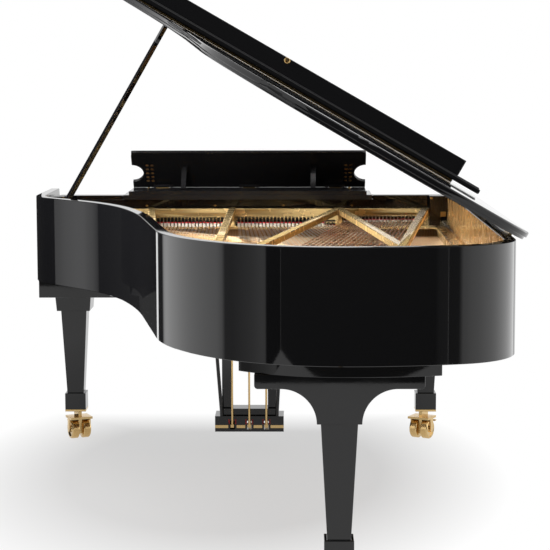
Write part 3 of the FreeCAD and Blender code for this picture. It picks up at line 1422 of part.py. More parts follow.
def set_caster(suffix, x, y, yaw):
    for item in (caster_body("caster_" + suffix), wheel_pair("wheels_" + suffix), brake_lever("brake_" + suffix)):
        item.Placement = Placement(Vector(0, 0, 0), Rotation(AXIS_Z, yaw))
        place(item, x, y, ZERO)
        keep(item, item.Name)


TREBLE_YAW = 204
BASS_YAW = 152
REAR_YAW = 150
set_caster("treble", leg_x, depth(C["leg_depth"]), TREBLE_YAW)
set_caster("bass", -leg_x, depth(C["leg_depth"]), BASS_YAW)
set_caster("rear", -rear_leg_x, depth(rear_leg_depth), REAR_YAW)

# Lyre: head, posts, pedal box and diagonal braces.
lyre_y = depth(C["lyre_depth"])
head_low = keybed_bottom - C["head_height"]
box_top = C["pedal_box_floor"] + C["pedal_box_height"]
step_top = box_top + C["pedal_step"]
box_rear = lyre_y + C["pedal_box_depth"] / 2
rod_y = box_rear + C["pedal_heel"] / 2
NECK_SHARE = 0.7
BALL_SHARE = 0.4
STEP_DEPTH_SHARE = 0.7
BRACE_FOOT_SHARE = 0.43
PEDALS = (("soft", -1), ("sostenuto", 0), ("damper", 1))
lyre_head = box("lyre_head_block", C["head_width"], C["head_depth"], C["head_height"],
                -C["head_width"] / 2, lyre_y - C["head_depth"] / 2, head_low)
head_bores = [
    rod("head_bore_" + name, C["rod_radius"] + C["fit_clearance"], C["head_height"],
        C["pedal_pitch"] * step, rod_y, head_low)
    for name, step in PEDALS
]
bored_head = minus("bored_head", lyre_head, joined("head_bores", head_bores))
posts = [
    box("post_%d" % index, C["post_width"], C["post_depth"], head_low - step_top,
        C["lyre_spread"] / 2 * side - C["post_width"] / 2, lyre_y - C["post_depth"] / 2, step_top)
    for index, side in enumerate((-1, 1))
]
keep(joined("lyre_frame", [bored_head] + posts), "lyre_frame")

box_low = box("box_low", C["pedal_box_width"], C["pedal_box_depth"], C["pedal_box_height"],
              -C["pedal_box_width"] / 2, lyre_y - C["pedal_box_depth"] / 2, C["pedal_box_floor"])
step_wide = C["lyre_spread"] + C["post_width"] + C["fit_clearance"]
box_step = box("box_step", step_wide, C["pedal_box_depth"] * STEP_DEPTH_SHARE, C["pedal_step"],
               -step_wide / 2, lyre_y - C["pedal_box_depth"] * STEP_DEPTH_SHARE / 2, box_top)
pedal_z = C["pedal_box_floor"] + C["pedal_rise"]
slot_wide = C["pedal_neck"] + C["pedal_play"] / 4
slot_high = C["pedal_thickness"] + C["pedal_play"]
slots = [
    box("slot_" + name, slot_wide, C["pedal_box_depth"], slot_high,
        C["pedal_pitch"] * step - slot_wide / 2, lyre_y - C["pedal_box_depth"] / 2, pedal_z - slot_high / 2)
    for name, step in PEDALS
]
pivot_rod_y = box_rear - C["pedal_box_depth"] / 4
hollow = minus("pedal_box_hollow", joined("box_block", [box_low, box_step]), joined("box_slots", slots))
pedal_pin = C["pedal_thickness"] / 4
axle = rod("pedal_axle", pedal_pin, C["pedal_box_width"] - C["pedal_pitch"] / 2,
           C["pedal_pitch"] / 4 - C["pedal_box_width"] / 2, pivot_rod_y, pedal_z, AXIS_X)
keep(joined("pedal_box", [hollow, axle]), "pedal_box")

# Pedals: a lever through the box with a broad toe, turning on the box's axle; rods stand on the heels.
toe_end = lyre_y - C["pedal_box_depth"] / 2 - C["pedal_toe"]
heel_end = box_rear + C["pedal_heel"]


def pedal(name, step):
    body = doc.addObject("PartDesign::Body", "pedal_%s_lever" % name)
    neck = C["pedal_neck"] / 2
    toe = C["pedal_width"] / 2
    toe_y = toe_end - pivot_rod_y
    heel_y = heel_end - pivot_rod_y
    round_off = C["pedal_width"] / 3
    outline = polygon_sketch(body, "pedal_%s_plan" % name, "XY_Plane", [
        (-neck, heel_y), (-neck, toe_y + C["pedal_toe"] * NECK_SHARE), (-toe, toe_y + C["pedal_toe"] * BALL_SHARE),
        (-toe, toe_y + round_off), (-toe / 2, toe_y), (toe / 2, toe_y), (toe, toe_y + round_off),
        (toe, toe_y + C["pedal_toe"] * BALL_SHARE), (neck, toe_y + C["pedal_toe"] * NECK_SHARE), (neck, heel_y),
    ], -C["pedal_thickness"] / 2)
    pad(body, outline, C["pedal_thickness"])
    bore = rod("pedal_%s_bore" % name, pedal_pin + C["fit_clearance"], C["pedal_width"],
               -C["pedal_width"] / 2, ZERO, ZERO, AXIS_X)
    lever = minus("pedal_" + name, body, bore)
    place(lever, C["pedal_pitch"] * step, pivot_rod_y, pedal_z)
    keep(lever, "pedal_" + name)
    rod_low = pedal_z + C["pedal_thickness"] / 2
    stick = rod("rod_" + name, C["rod_radius"], keybed_bottom - C["plate_clearance"] * 2 - rod_low,
                C["pedal_pitch"] * step, rod_y, rod_low)
    keep(stick, "rod_" + name)


for name, step in PEDALS:
    pedal(name, step)

BRACE_SPREAD_SHARES = (0.6, 0.75)
brace_rods = []
for side in (-1, 1):
    foot_share, top_share = BRACE_SPREAD_SHARES
    foot = Vector(side * V["lyre_spread"] * foot_share, float(lyre_y) + V["pedal_box_depth"] * BRACE_FOOT_SHARE, float(box_top))
    top_y = float(depth(C["keybed_depth"])) - 4 * V["brace_radius"]
    top = Vector(side * V["lyre_spread"] * top_share, top_y, float(keybed_bottom))
    along = top - foot
    stretch = unit(along) * (V["brace_radius"] * 3)
    raw = Part.makeCylinder(V["brace_radius"], along.Length + 2 * stretch.Length, foot - stretch, along)
    wide = V["case_width"]
    brace_rods.append(raw.common(span(-wide, wide, -wide, wide, foot.z, top.z)))
feature("lyre_braces", Part.makeCompound([shape.Solids[0] for shape in brace_rods]))

# The origin lies under the middle of the whole outline, so every piece is moved by the same step.
doc.recompute()
step_vector = Vector(V["middle_x"], V["middle_y"], 0)
for item in parts:
    if item.Name in spots:
        x, y, z = spots[item.Name]
        place(item, as_size(x) + C["middle_x"], as_size(y) + C["middle_y"], z)
    else:
        item.Placement = Placement(step_vector, Rotation()).multiply(item.Placement)
doc.recompute()
os.makedirs("parts", exist_ok=True)
faults = []
for item in doc.Objects:
    state = [word for word in item.State if word in ("Invalid", "Error")]
    if state:
        faults.append("%s %s" % (item.Name, state))
for item in parts:
    if item.Shape.isNull() or not item.Shape.isValid() or not item.Shape.Solids:
        faults.append("%s shape" % item.Label)
if faults:
    raise ValueError("; ".join(faults))
for item in parts:
    item.Shape.exportStep(os.path.join("parts", item.Label + ".step"))
    bounds = item.Shape.BoundBox
    print(item.Label, len(item.Shape.Solids), "%.1f %.1f %.1f" % (bounds.XLength, bounds.YLength, bounds.ZLength))
print("parts", len(parts))
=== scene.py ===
import json
import math

import bmesh
import bpy
from bpy.props import FloatProperty, FloatVectorProperty, PointerProperty
from mathutils import Matrix, Vector

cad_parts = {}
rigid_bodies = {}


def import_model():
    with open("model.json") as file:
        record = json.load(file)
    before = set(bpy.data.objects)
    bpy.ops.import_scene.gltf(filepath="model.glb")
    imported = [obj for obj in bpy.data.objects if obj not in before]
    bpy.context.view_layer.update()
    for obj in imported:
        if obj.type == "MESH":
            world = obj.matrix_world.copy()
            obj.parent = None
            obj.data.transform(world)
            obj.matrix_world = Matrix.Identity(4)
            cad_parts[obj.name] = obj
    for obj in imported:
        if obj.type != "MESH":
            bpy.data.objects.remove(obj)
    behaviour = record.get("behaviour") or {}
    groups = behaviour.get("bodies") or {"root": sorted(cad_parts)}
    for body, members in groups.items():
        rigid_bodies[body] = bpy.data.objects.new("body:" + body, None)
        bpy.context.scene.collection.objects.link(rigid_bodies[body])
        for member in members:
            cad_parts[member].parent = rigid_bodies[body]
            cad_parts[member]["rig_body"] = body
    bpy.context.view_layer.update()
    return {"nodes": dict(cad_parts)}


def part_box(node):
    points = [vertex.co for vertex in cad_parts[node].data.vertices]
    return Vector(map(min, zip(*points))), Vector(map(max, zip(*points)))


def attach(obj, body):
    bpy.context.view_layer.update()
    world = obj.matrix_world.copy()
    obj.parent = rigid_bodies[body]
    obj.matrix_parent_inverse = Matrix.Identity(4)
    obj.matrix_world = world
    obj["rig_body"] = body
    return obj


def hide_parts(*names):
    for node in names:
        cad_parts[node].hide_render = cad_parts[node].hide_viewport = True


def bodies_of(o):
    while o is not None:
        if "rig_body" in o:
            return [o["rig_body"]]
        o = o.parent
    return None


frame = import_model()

bl_info = {
    "name": "Grand piano",
    "version": (1, 0, 0),
    "blender": (4, 5, 0),
    "location": "3D View > Sidebar > Piano",
    "description": "Finishes a black lacquered grand piano on its packed model",
    "category": "Object",
}

BED_LOW, BED_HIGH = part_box("keybed")
RIM_LOW, RIM_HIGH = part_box("outer_rim")
MIDDLE_X = (BED_LOW.x + BED_HIGH.x) / 2
FRONT_Y = BED_LOW.y
CASE_WIDTH = BED_HIGH.x - BED_LOW.x
CASE_LENGTH = RIM_HIGH.y - RIM_LOW.y
LID_ANGLE = math.radians(30)
LID_JOINT = 0.58
DESK_LEAN = math.radians(40)
DESK_HINGE = (0.375, 1.024)
FOLD_HEIGHT = 1.043
HINGE_OUT = 0.006
HINGE_HEIGHT = 1.004
CASTER_TURNS = {"treble": math.radians(204), "bass": math.radians(152), "rear": math.radians(150)}
PEDALS = ("soft", "sostenuto", "damper")
SIDES = (-1, 1)
AXIS_X = Vector((1, 0, 0))
AXIS_Y = Vector((0, 1, 0))
AXIS_Z = Vector((0, 0, 1))


def length_prop(name, description, default):
    return FloatProperty(name=name, description=description, default=default, min=0, unit="LENGTH", precision=4)


def colour_prop(name, description, default):
    return FloatVectorProperty(name=name, description=description, default=default, size=3, min=0, max=1,
                               subtype="COLOR")


def angle_prop(name, description, default):
    return FloatProperty(name=name, description=description, default=default, subtype="ANGLE", unit="ROTATION")


class PianoSizes(bpy.types.PropertyGroup):
    rim_wall: length_prop("Rim wall", "Thickness of the outer rim", 0.034)
    rim_round: length_prop("Rim rounding", "Rounding of the rim's top edges", 0.003)
    cheek_length: length_prop("Cheek length", "Straight part of the treble side", 0.68)
    arm_flat: length_prop("Arm flat", "Depth of the low part of the arms", 0.12)
    arm_drop: length_prop("Arm drop", "Step from the rim's top down to the arms", 0.17)
    veneer_start: length_prop("Veneer start", "Depth where the inner veneer begins", 0.6)
    desk_shoulder: length_prop("Desk shoulders", "Rounding of the music desk's upper corners", 0.022)
    desk_trim: length_prop("Desk trim", "How much lower the music desk's top edge stands", 0.011)
    desk_round: length_prop("Desk top edge", "Rounding of the music desk's top edge", 0.005)
    plate_round: length_prop("Plate rounding", "Rounding of the cast plate's long edges", 0.0025)
    edge_round: length_prop("Edge rounding", "Rounding of the lacquered edges", 0.0016)
    metal_round: length_prop("Metal rounding", "Rounding of the brass edges", 0.0006)
    felt_share: FloatProperty(name="Damper felt", description="Felt in the height of a damper", default=0.5,
                              min=0, max=1, subtype="FACTOR")
    bass_damper: length_prop("Bass dampers", "Height of the damper heads of the wound strings", 0.021)
    knob_radius: length_prop("Rail knob", "Radius of the brass knobs on the rear rail", 0.0055)
    ring_radius: length_prop("Lock ring", "Radius of the ring on the drop lip", 0.011)
    plate_height: length_prop("Foot plate", "Thickness of the brass plate under a leg", 0.0085)
    groove_depth: length_prop("Wheel grooves", "Depth of the turned grooves in the caster wheels", 0.0007)


class PianoColours(bpy.types.PropertyGroup):
    lacquer: colour_prop("Lacquer", "Black polished case", (0.0026, 0.0026, 0.003))
    satin: colour_prop("Satin lacquer", "Music desk and its tray", (0.0105, 0.0105, 0.011))
    brass: colour_prop("Brass", "Hinges, casters and pedals", (0.70, 0.49, 0.22))
    bronze: colour_prop("Bronze", "Bronzed cast plate", (0.74, 0.52, 0.22))
    copper: colour_prop("Copper", "Windings of the bass strings", (0.78, 0.41, 0.21))
    steel: colour_prop("Steel", "Plain strings and tuning pins", (0.78, 0.76, 0.72))
    spruce: colour_prop("Spruce", "Light wood of the soundboard", (0.93, 0.68, 0.44))
    spruce_dark: colour_prop("Spruce rings", "Dark rings of the soundboard", (0.80, 0.53, 0.32))
    veneer: colour_prop("Veneer", "Inner face of the rim", (0.42, 0.24, 0.088))
    veneer_dark: colour_prop("Veneer figure", "Dark figure of the inner face", (0.265, 0.128, 0.039))
    maple: colour_prop("Maple", "Bridges, pinblock, keys and hammers", (0.60, 0.42, 0.25))
    maple_dark: colour_prop("Maple figure", "Dark figure of the maple", (0.42, 0.26, 0.13))
    felt: colour_prop("White felt", "Dampers and hammers", (0.72, 0.69, 0.62))
    red_felt: colour_prop("Red felt", "Bushings and under felts", (0.42, 0.018, 0.02))
    key_white: colour_prop("Key tops", "White key coverings", (0.82, 0.80, 0.74))
    ebony: colour_prop("Black keys", "Black key coverings", (0.008, 0.0075, 0.0075))
    leather: colour_prop("Leather", "Dark pad of the lid stick", (0.02, 0.018, 0.016))


class PianoStage(bpy.types.PropertyGroup):
    floor: colour_prop("Floor", "Pale floor", (0.86, 0.86, 0.86))
    eye: FloatVectorProperty(name="Camera place", description="Where the camera stands", size=3, unit="LENGTH",
                             subtype="XYZ", default=(MIDDLE_X - 0.1918, FRONT_Y + 7.4042, 1.4645))
    pitch: angle_prop("Camera pitch", "How far the camera looks down", 0.1125)
    yaw: angle_prop("Camera yaw", "How far the camera turns aside", 0.0129)
    roll: angle_prop("Camera roll", "How far the camera leans", -0.0022)
    lens: FloatProperty(name="Lens", description="Focal length on a 36 mm frame", default=116.83, unit="CAMERA")


SETTINGS = {"piano_sizes": PianoSizes, "piano_colours": PianoColours, "piano_stage": PianoStage}


def sizes():
    return bpy.context.scene.piano_sizes


def colours():
    return bpy.context.scene.piano_colours


def stage_settings():
    return bpy.context.scene.piano_stage


def spot(x, depth, z):
    """A point from the middle of the case, the front of the key slip and the floor."""
    return Vector((MIDDLE_X + x, FRONT_Y + depth, z))


def on_flap(x, depth, z):
    """A point of the closed front flap, where the folded flap on the raised lid has it."""
    hinge = Vector((-CASE_WIDTH / 2 - HINGE_OUT, 0, HINGE_HEIGHT))
    folded = Vector((x, 2 * LID_JOINT - depth, 2 * FOLD_HEIGHT - z))
    return spot(*(hinge + Matrix.Rotation(-LID_ANGLE, 3, "Y") @ (folded - hinge)))


def middle_of(node):
    low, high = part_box(node)
    return (low + high) / 2


# Shader groups

GREY = (0.5, 0.5, 0.5, 1)
WHITE = (1, 1, 1, 1)


def set_socket(tree, socket, value):
    """Links a socket to the one given, or holds it at a fixed value."""
    if hasattr(value, "is_output"):
        tree.links.new(value, socket)
    else:
        socket.default_value = value


def add_node(tree, kind, inputs=None, **options):
    item = tree.nodes.new("ShaderNode" + kind)
    for key, value in options.items():
        setattr(item, key, value)
    for key, value in (inputs or {}).items():
        set_socket(tree, item.inputs[key], value)
    return item


def mixed(tree, factor, first, second):
    return add_node(tree, "Mix", {0: factor, 6: first, 7: second}, data_type="RGBA").outputs[2]


def maths(tree, operation, first, second):
    return add_node(tree, "Math", {0: first, 1: second}, operation=operation).outputs[0]


def ranged(tree, value, low, high, to_low=0.0, to_high=1.0):
    return add_node(tree, "MapRange", {0: value, 1: low, 2: high, 3: to_low, 4: to_high}).outputs[0]


def placed(tree):
    return add_node(tree, "TexCoord").outputs["Object"]


def parts_of(tree, vector):
    return add_node(tree, "SeparateXYZ", {0: vector}).outputs


def noise(tree, place, scale, detail, **more):
    inputs = {"Vector": place, "Scale": scale, "Detail": detail, **more}
    return add_node(tree, "TexNoise", inputs).outputs["Fac"]


def polish_marks(tree, given):
    """Uneven gloss and fine rubbing marks."""
    place = placed(tree)
    cloud = noise(tree, place, given["Scale"], 4.0)
    marks = noise(tree, place, maths(tree, "MULTIPLY", given["Scale"], 14.0), 2.0)
    return ranged(tree, cloud, 0.3, 0.7, given["Smooth"], given["Dull"]), marks


def settled_dust(tree, given):
    """Light dust that settles on faces that look up."""
    place = placed(tree)
    facing = parts_of(tree, add_node(tree, "NewGeometry").outputs["Normal"])["Z"]
    specks = ranged(tree, noise(tree, place, 260.0, 5.0), 0.45, 0.75, 0.2)
    cloud = ranged(tree, noise(tree, place, 7.0, 3.0), 0.35, 0.7, 0.3)
    loose = maths(tree, "MULTIPLY", maths(tree, "MULTIPLY", specks, cloud), ranged(tree, facing, 0.5, 1.0))
    cover = maths(tree, "MULTIPLY", loose, given["Amount"])
    return (mixed(tree, cover, given["Color"], given["Dust"]),)


def wood_grain(tree, given):
    """Wood with growth rings and fine pores, along the long axis of the given coordinates."""
    rings = add_node(tree, "TexWave", {"Vector": given["Vector"], "Scale": given["Rings"], "Detail": 3.0,
                                       "Distortion": given["Figure"], "Detail Scale": 1.5}).outputs["Fac"]
    pores = noise(tree, given["Vector"], 9.0, 6.0)
    broad = noise(tree, given["Vector"], 0.35, 2.0)
    streak = maths(tree, "MULTIPLY", rings, ranged(tree, pores, 0.3, 0.7, 0.55, 1.1))
    depth = maths(tree, "ADD", maths(tree, "MULTIPLY", streak, 0.7), ranged(tree, broad, 0.3, 0.7, -0.1, 0.35))
    return mixed(tree, depth, given["Light"], given["Dark"]), pores


def felt_nap(tree, given):
    """Soft fibres of felt and leather."""
    place = placed(tree)
    fuzz = noise(tree, place, given["Scale"], 6.0, Roughness=0.7)
    blotch = noise(tree, place, 45.0, 2.0)
    depth = maths(tree, "MULTIPLY", ranged(tree, fuzz, 0.35, 0.7), ranged(tree, blotch, 0.3, 0.7, 0.4, 0.9))
    return mixed(tree, depth, given["Color"], given["Shade"]), fuzz


# Label, builder, inputs and outputs of each shared effect.
EFFECTS = {
    "polish": ("Polish marks", polish_marks, {"Scale": 20.0, "Smooth": 0.1, "Dull": 0.3}, ("Roughness", "Height")),
    "dust": ("Settled dust", settled_dust, {"Color": GREY, "Dust": GREY, "Amount": 0.02}, ("Color",)),
    "grain": ("Wood grain", wood_grain,
              {"Vector": (0, 0, 0), "Light": GREY, "Dark": GREY, "Rings": 1.0, "Figure": 4.0}, ("Color", "Height")),
    "nap": ("Felt nap", felt_nap, {"Color": GREY, "Shade": GREY, "Scale": 400.0}, ("Color", "Height")),
}
GROUPS = {}
FINISHES = {}


def shared_group(name):
    """The node group of an effect, made once; the kind of an input follows from its value."""
    if name not in GROUPS:
        label, build, inputs, outputs = EFFECTS[name]
        tree = GROUPS[name] = bpy.data.node_groups.new(label, "ShaderNodeTree")
        for key, value in inputs.items():
            kind = "Float" if isinstance(value, float) else "Vector" if len(value) == 3 else "Color"
            socket = tree.interface.new_socket(name=key, in_out="INPUT", socket_type="NodeSocket" + kind)
            socket.default_value = value
        for key in outputs:
            kind = "Color" if key == "Color" else "Float"
            tree.interface.new_socket(name=key, in_out="OUTPUT", socket_type="NodeSocket" + kind)
        given = tree.nodes.new("NodeGroupInput").outputs
        out = tree.nodes.new("NodeGroupOutput").inputs
        for key, value in zip(outputs, build(tree, given)):
            tree.links.new(value, out[key])
    return GROUPS[name]


def tinted(colour, share=1):
    return (*(part * share for part in colour), 1)


def paint(name, share=1):
    return tinted(getattr(colours(), name), share)


class Finish:
    """A material whose shader sockets are fed by the shared effects."""

    def __init__(self, name):
        self.material = bpy.data.materials.new(name)
        self.material.use_nodes = True
        self.tree = self.material.node_tree
        self.shader = self.tree.nodes["Principled BSDF"]

    def fill(self, **values):
        """Sets or links shader sockets, whose names have underscores for spaces."""
        for key, value in values.items():
            set_socket(self.tree, self.shader.inputs[key.replace("_", " ")], value)

    def effect(self, name, **inputs):
        return add_node(self.tree, "Group", inputs, node_tree=shared_group(name)).outputs

    def bump(self, height, strength, distance):
        item = add_node(self.tree, "Bump", {"Strength": strength, "Distance": distance, "Height": height})
        self.fill(Normal=item.outputs["Normal"])

    def polish(self, scale, smooth, dull):
        """Sets the gloss, and gives the height of the rubbing marks."""
        marks = self.effect("polish", Scale=scale, Smooth=smooth, Dull=dull)
        self.fill(Roughness=marks["Roughness"])
        return marks["Height"]

    def grain(self, light, dark, stretch, rings, figure, turn=(0, 0, 0)):
        place = add_node(self.tree, "Mapping", {"Vector": placed(self.tree), "Scale": stretch, "Rotation": turn})
        return self.effect("grain", Vector=place.outputs[0], Light=paint(light), Dark=paint(dark), Rings=rings,
                           Figure=figure)

    def nap(self, colour, share, scale):
        return self.effect("nap", Color=paint(colour), Shade=paint(colour, share), Scale=scale)

    def where(self, axis, operation, limit):
        """One where a point lies past a limit along an axis."""
        return maths(self.tree, operation, parts_of(self.tree, placed(self.tree))[axis], limit)


BARE_MAPLE = dict(light="maple", dark="maple_dark", stretch=(30, 3, 30), rings=1.2, figure=3.0)


def black(made, colour, smooth, dull):
    marks = made.polish(9.0, smooth, dull)
    dust = made.effect("dust", Color=paint(colour), Dust=(0.3, 0.3, 0.3, 1), Amount=0.012)
    made.fill(Base_Color=dust["Color"], IOR=1.5)
    made.bump(marks, strength=0.012, distance=0.0004)


def metal(made, colour, scale, smooth, dull):
    marks = made.polish(scale, smooth, dull)
    shade = ranged(made.tree, marks, 0.3, 0.7)
    made.fill(Base_Color=mixed(made.tree, shade, paint(colour), paint(colour, 0.82)), Metallic=1.0)
    made.bump(marks, strength=0.03, distance=0.0006)


def bronze(made):
    """Bronze paint with fine flakes, whose glints are painted into its colour."""
    made.polish(scale=24.0, smooth=0.2, dull=0.3)
    flake = add_node(made.tree, "TexVoronoi", {"Vector": placed(made.tree), "Scale": 900.0})
    # Painted glints: each flake is lighter near its middle and darker towards its edge.
    painted_glint = ranged(made.tree, flake.outputs["Distance"], 0.0, 0.6)
    coat_colour_with_glints = mixed(made.tree, painted_glint, paint("bronze"), paint("bronze", 0.93))
    dust = made.effect("dust", Color=coat_colour_with_glints, Dust=(0.45, 0.4, 0.32, 1), Amount=0.05)
    made.fill(Base_Color=dust["Color"], Metallic=0.6, Coat_Weight=0.4, Coat_Roughness=0.1)


def copper(made):
    """Wire wound round a string, with painted shade in the grooves between its turns."""
    place = placed(made.tree)
    turns_and_groove_shade = add_node(made.tree, "TexWave", {"Vector": place, "Scale": 190.0}, bands_direction="Y").outputs["Fac"]
    made.polish(scale=40.0, smooth=0.22, dull=0.4)
    # Painted shade: the colour darkens in the grooves between the turns, where the bump sinks.
    made.fill(Base_Color=mixed(made.tree, turns_and_groove_shade, paint("copper", 0.55), paint("copper")), Metallic=1.0)
    made.bump(turns_and_groove_shade, strength=0.4, distance=0.0006)


def wood(made, smooth, dull, coat, **figure):
    grain = made.grain(**figure)
    made.polish(16.0, smooth, dull)
    made.fill(Base_Color=grain["Color"], Coat_Weight=coat, Coat_Roughness=0.08)
    made.bump(grain["Height"], strength=0.06, distance=0.0006)


def felt(made, colour):
    nap = made.nap(colour, share=0.55, scale=900.0)
    made.fill(Base_Color=nap["Color"], Roughness=0.95, Sheen_Weight=0.4, Sheen_Roughness=0.5)
    made.bump(nap["Height"], strength=0.6, distance=0.0008)


def leather(made):
    nap = made.nap("leather", share=0.5, scale=500.0)
    made.fill(Base_Color=nap["Color"], Roughness=0.8, Specular_IOR_Level=0.15)
    made.bump(nap["Height"], strength=0.4, distance=0.0005)


def key_cover(made):
    """White covering on a key's top and front, bare wood on the rest of the stick."""
    low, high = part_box("white_keys_a")
    polish = made.effect("polish", Scale=30.0, Smooth=0.08, Dull=0.16)
    top = made.where("Z", "GREATER_THAN", high.z - 0.0025)
    front = made.where("Y", "LESS_THAN", low.y + 0.0015)
    shown = made.where("Y", "LESS_THAN", low.y + 0.152)
    covered = maths(made.tree, "MAXIMUM", maths(made.tree, "MULTIPLY", top, shown), front)
    tint = mixed(made.tree, polish["Height"], paint("key_white"), paint("key_white", 0.95))
    made.fill(Base_Color=mixed(made.tree, covered, made.grain(**BARE_MAPLE)["Color"], tint),
              Roughness=mixed(made.tree, covered, GREY, polish["Roughness"]))


def sharp_cover(made):
    """Matt black covering on a black key's cap, bare wood behind it."""
    marks = made.polish(scale=60.0, smooth=0.2, dull=0.34)
    shown = made.where("Y", "LESS_THAN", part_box("black_keys")[0].y + 0.1)
    tint = mixed(made.tree, marks, paint("ebony"), paint("ebony", 2.2))
    made.fill(Base_Color=mixed(made.tree, shown, made.grain(**BARE_MAPLE)["Color"], tint))
    made.bump(marks, strength=0.05, distance=0.0004)


def hammer(made):
    """Felt on the upper part of a hammer head, wood below it and on the shank."""
    nap = made.nap("felt", share=0.7, scale=700.0)
    upper = made.where("Z", "GREATER_THAN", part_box("hammers_white_a")[0].z + 0.026)
    made.fill(Base_Color=mixed(made.tree, upper, made.grain(**BARE_MAPLE)["Color"], nap["Color"]), Roughness=0.8)
    made.bump(nap["Height"], strength=0.3, distance=0.0006)


MAKERS = {
    "lacquer": ("black_lacquer", black, dict(colour="lacquer", smooth=0.015, dull=0.04)),
    "satin": ("satin_lacquer", black, dict(colour="satin", smooth=0.1, dull=0.18)),
    "brass": ("brass", metal, dict(colour="brass", scale=60.0, smooth=0.12, dull=0.24)),
    "steel": ("steel", metal, dict(colour="steel", scale=90.0, smooth=0.28, dull=0.42)),
    "bronze": ("bronzed_iron", bronze, {}),
    "copper": ("copper_winding", copper, {}),
    "spruce": ("spruce", wood, dict(light="spruce", dark="spruce_dark", stretch=(26, 1.2, 26), rings=3.2, figure=1.2,
                                    smooth=0.3, dull=0.45, coat=0.5, turn=(0, 0, math.radians(35)))),
    "veneer": ("rim_veneer", wood, dict(light="veneer", dark="veneer_dark", stretch=(5, 5, 1.6), rings=1.3, figure=7.0,
                                        smooth=0.2, dull=0.35, coat=0.6)),
    "maple": ("maple", wood, dict(light="maple", dark="maple_dark", stretch=(22, 3, 22), rings=1.4, figure=3.0,
                                  smooth=0.35, dull=0.55, coat=0.1)),
    "white_felt": ("white_felt", felt, dict(colour="felt")),
    "red_felt": ("red_felt", felt, dict(colour="red_felt")),
    "leather": ("dark_leather", leather, {}),
    "key_cover": ("white_key", key_cover, {}),
    "sharp_cover": ("black_key", sharp_cover, {}),
    "hammer": ("hammer", hammer, {}),
}


def finish(name):
    if name not in FINISHES:
        material_name, make, values = MAKERS[name]
        made = Finish(material_name)
        make(made, **values)
        FINISHES[name] = made.material
    return FINISHES[name]


# Shaping

WELD_REACH = 2e-5
FLAT_ANGLE = math.radians(0.6)
SHARP_ANGLE = math.radians(35)


def linked(name, data):
    piece = bpy.data.objects.new(name, data)
    bpy.context.scene.collection.objects.link(piece)
    return piece


def settle(piece, materials, body, node=None):
    """Gives a piece its finishes, and seats it on a body in place of a node."""
    for name in materials:
        piece.data.materials.append(finish(name))
    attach(piece, body)
    if node:
        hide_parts(node)
    return piece


def body_of(node):
    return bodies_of(frame["nodes"][node])[0]


def coat(name, *nodes):
    """Gives carried-over nodes a finish as they are."""
    for node in nodes:
        for place in frame["nodes"][node].material_slots:
            place.material = finish(name)


def eased(piece, width, angle=30, segments=3):
    """Rounds the hard edges of a piece and keeps its flat faces flat."""
    piece.data.shade_smooth()
    round_over = piece.modifiers.new("edges", "BEVEL")
    round_over.width = width
    round_over.segments = segments
    round_over.limit_method = "ANGLE"
    round_over.angle_limit = math.radians(angle)
    round_over.harden_normals = True
    round_over.miter_outer = "MITER_ARC"
    return piece


def welded(node):
    shape = bmesh.new()
    shape.from_mesh(frame["nodes"][node].data)
    bmesh.ops.remove_doubles(shape, verts=shape.verts, dist=WELD_REACH)
    return shape


def copied(node, materials, width, angle=30, segments=3, change=None):
    """A rounded copy of a node, in whole faces, that stands for it."""
    shape = welded(node)
    bmesh.ops.dissolve_limit(shape, angle_limit=FLAT_ANGLE, verts=shape.verts, edges=shape.edges)
    if change:
        change(shape)
    shape.verts.index_update()
    mesh = bpy.data.meshes.new(node + "_eased")
    mesh.from_pydata([vert.co for vert in shape.verts], [],
                     [[vert.index for vert in face.verts] for face in shape.faces])
    shape.free()
    piece = settle(linked(node + "_eased", mesh), materials, body_of(node), node)
    return eased(piece, width, angle, segments)


def weighted(piece, angle, shortest, hollows=True, share=lambda edge, weight: weight):
    """Keeps a piece's rounding to its long sharp edges, and leaves the inner corners out if asked."""
    shape = bmesh.new()
    shape.from_mesh(piece.data)
    layer = shape.edges.layers.float.new("bevel_weight_edge")
    for edge in shape.edges:
        sharp = len(edge.link_faces) == 2 and edge.calc_face_angle() > math.radians(angle)
        chosen = sharp and edge.calc_length() > shortest and (hollows or edge.is_convex)
        edge[layer] = share(edge, 1.0 if chosen else 0.0)
    shape.to_mesh(piece.data)
    shape.free()
    piece.modifiers["edges"].limit_method = "WEIGHT"
    piece.modifiers["edges"].use_clamp_overlap = False


def islands(node):
    """Lowest and highest corners of each separate solid of a node."""
    shape = welded(node)
    seen = set()
    found = []
    for start in shape.verts:
        if start in seen:
            continue
        seen.add(start)
        stack = [start]
        spots = []
        while stack:
            vert = stack.pop()
            spots.append(vert.co.copy())
            others = {edge.other_vert(vert) for edge in vert.link_edges} - seen
            seen |= others
            stack += others
        found.append([Vector([pick(along) for along in zip(*spots)]) for pick in (min, max)])
    shape.free()
    return sorted(found, key=lambda pair: pair[0].x)


def circle(sides):
    return [2 * math.pi * i / sides for i in range(sides)]


def runs(start, end, gaps):
    """The stretches between gaps, each of which is given as its middle and half its width."""
    edges = [start] + [x + side * room for x, room in gaps for side in SIDES] + [end]
    return zip(edges[0::2], edges[1::2])


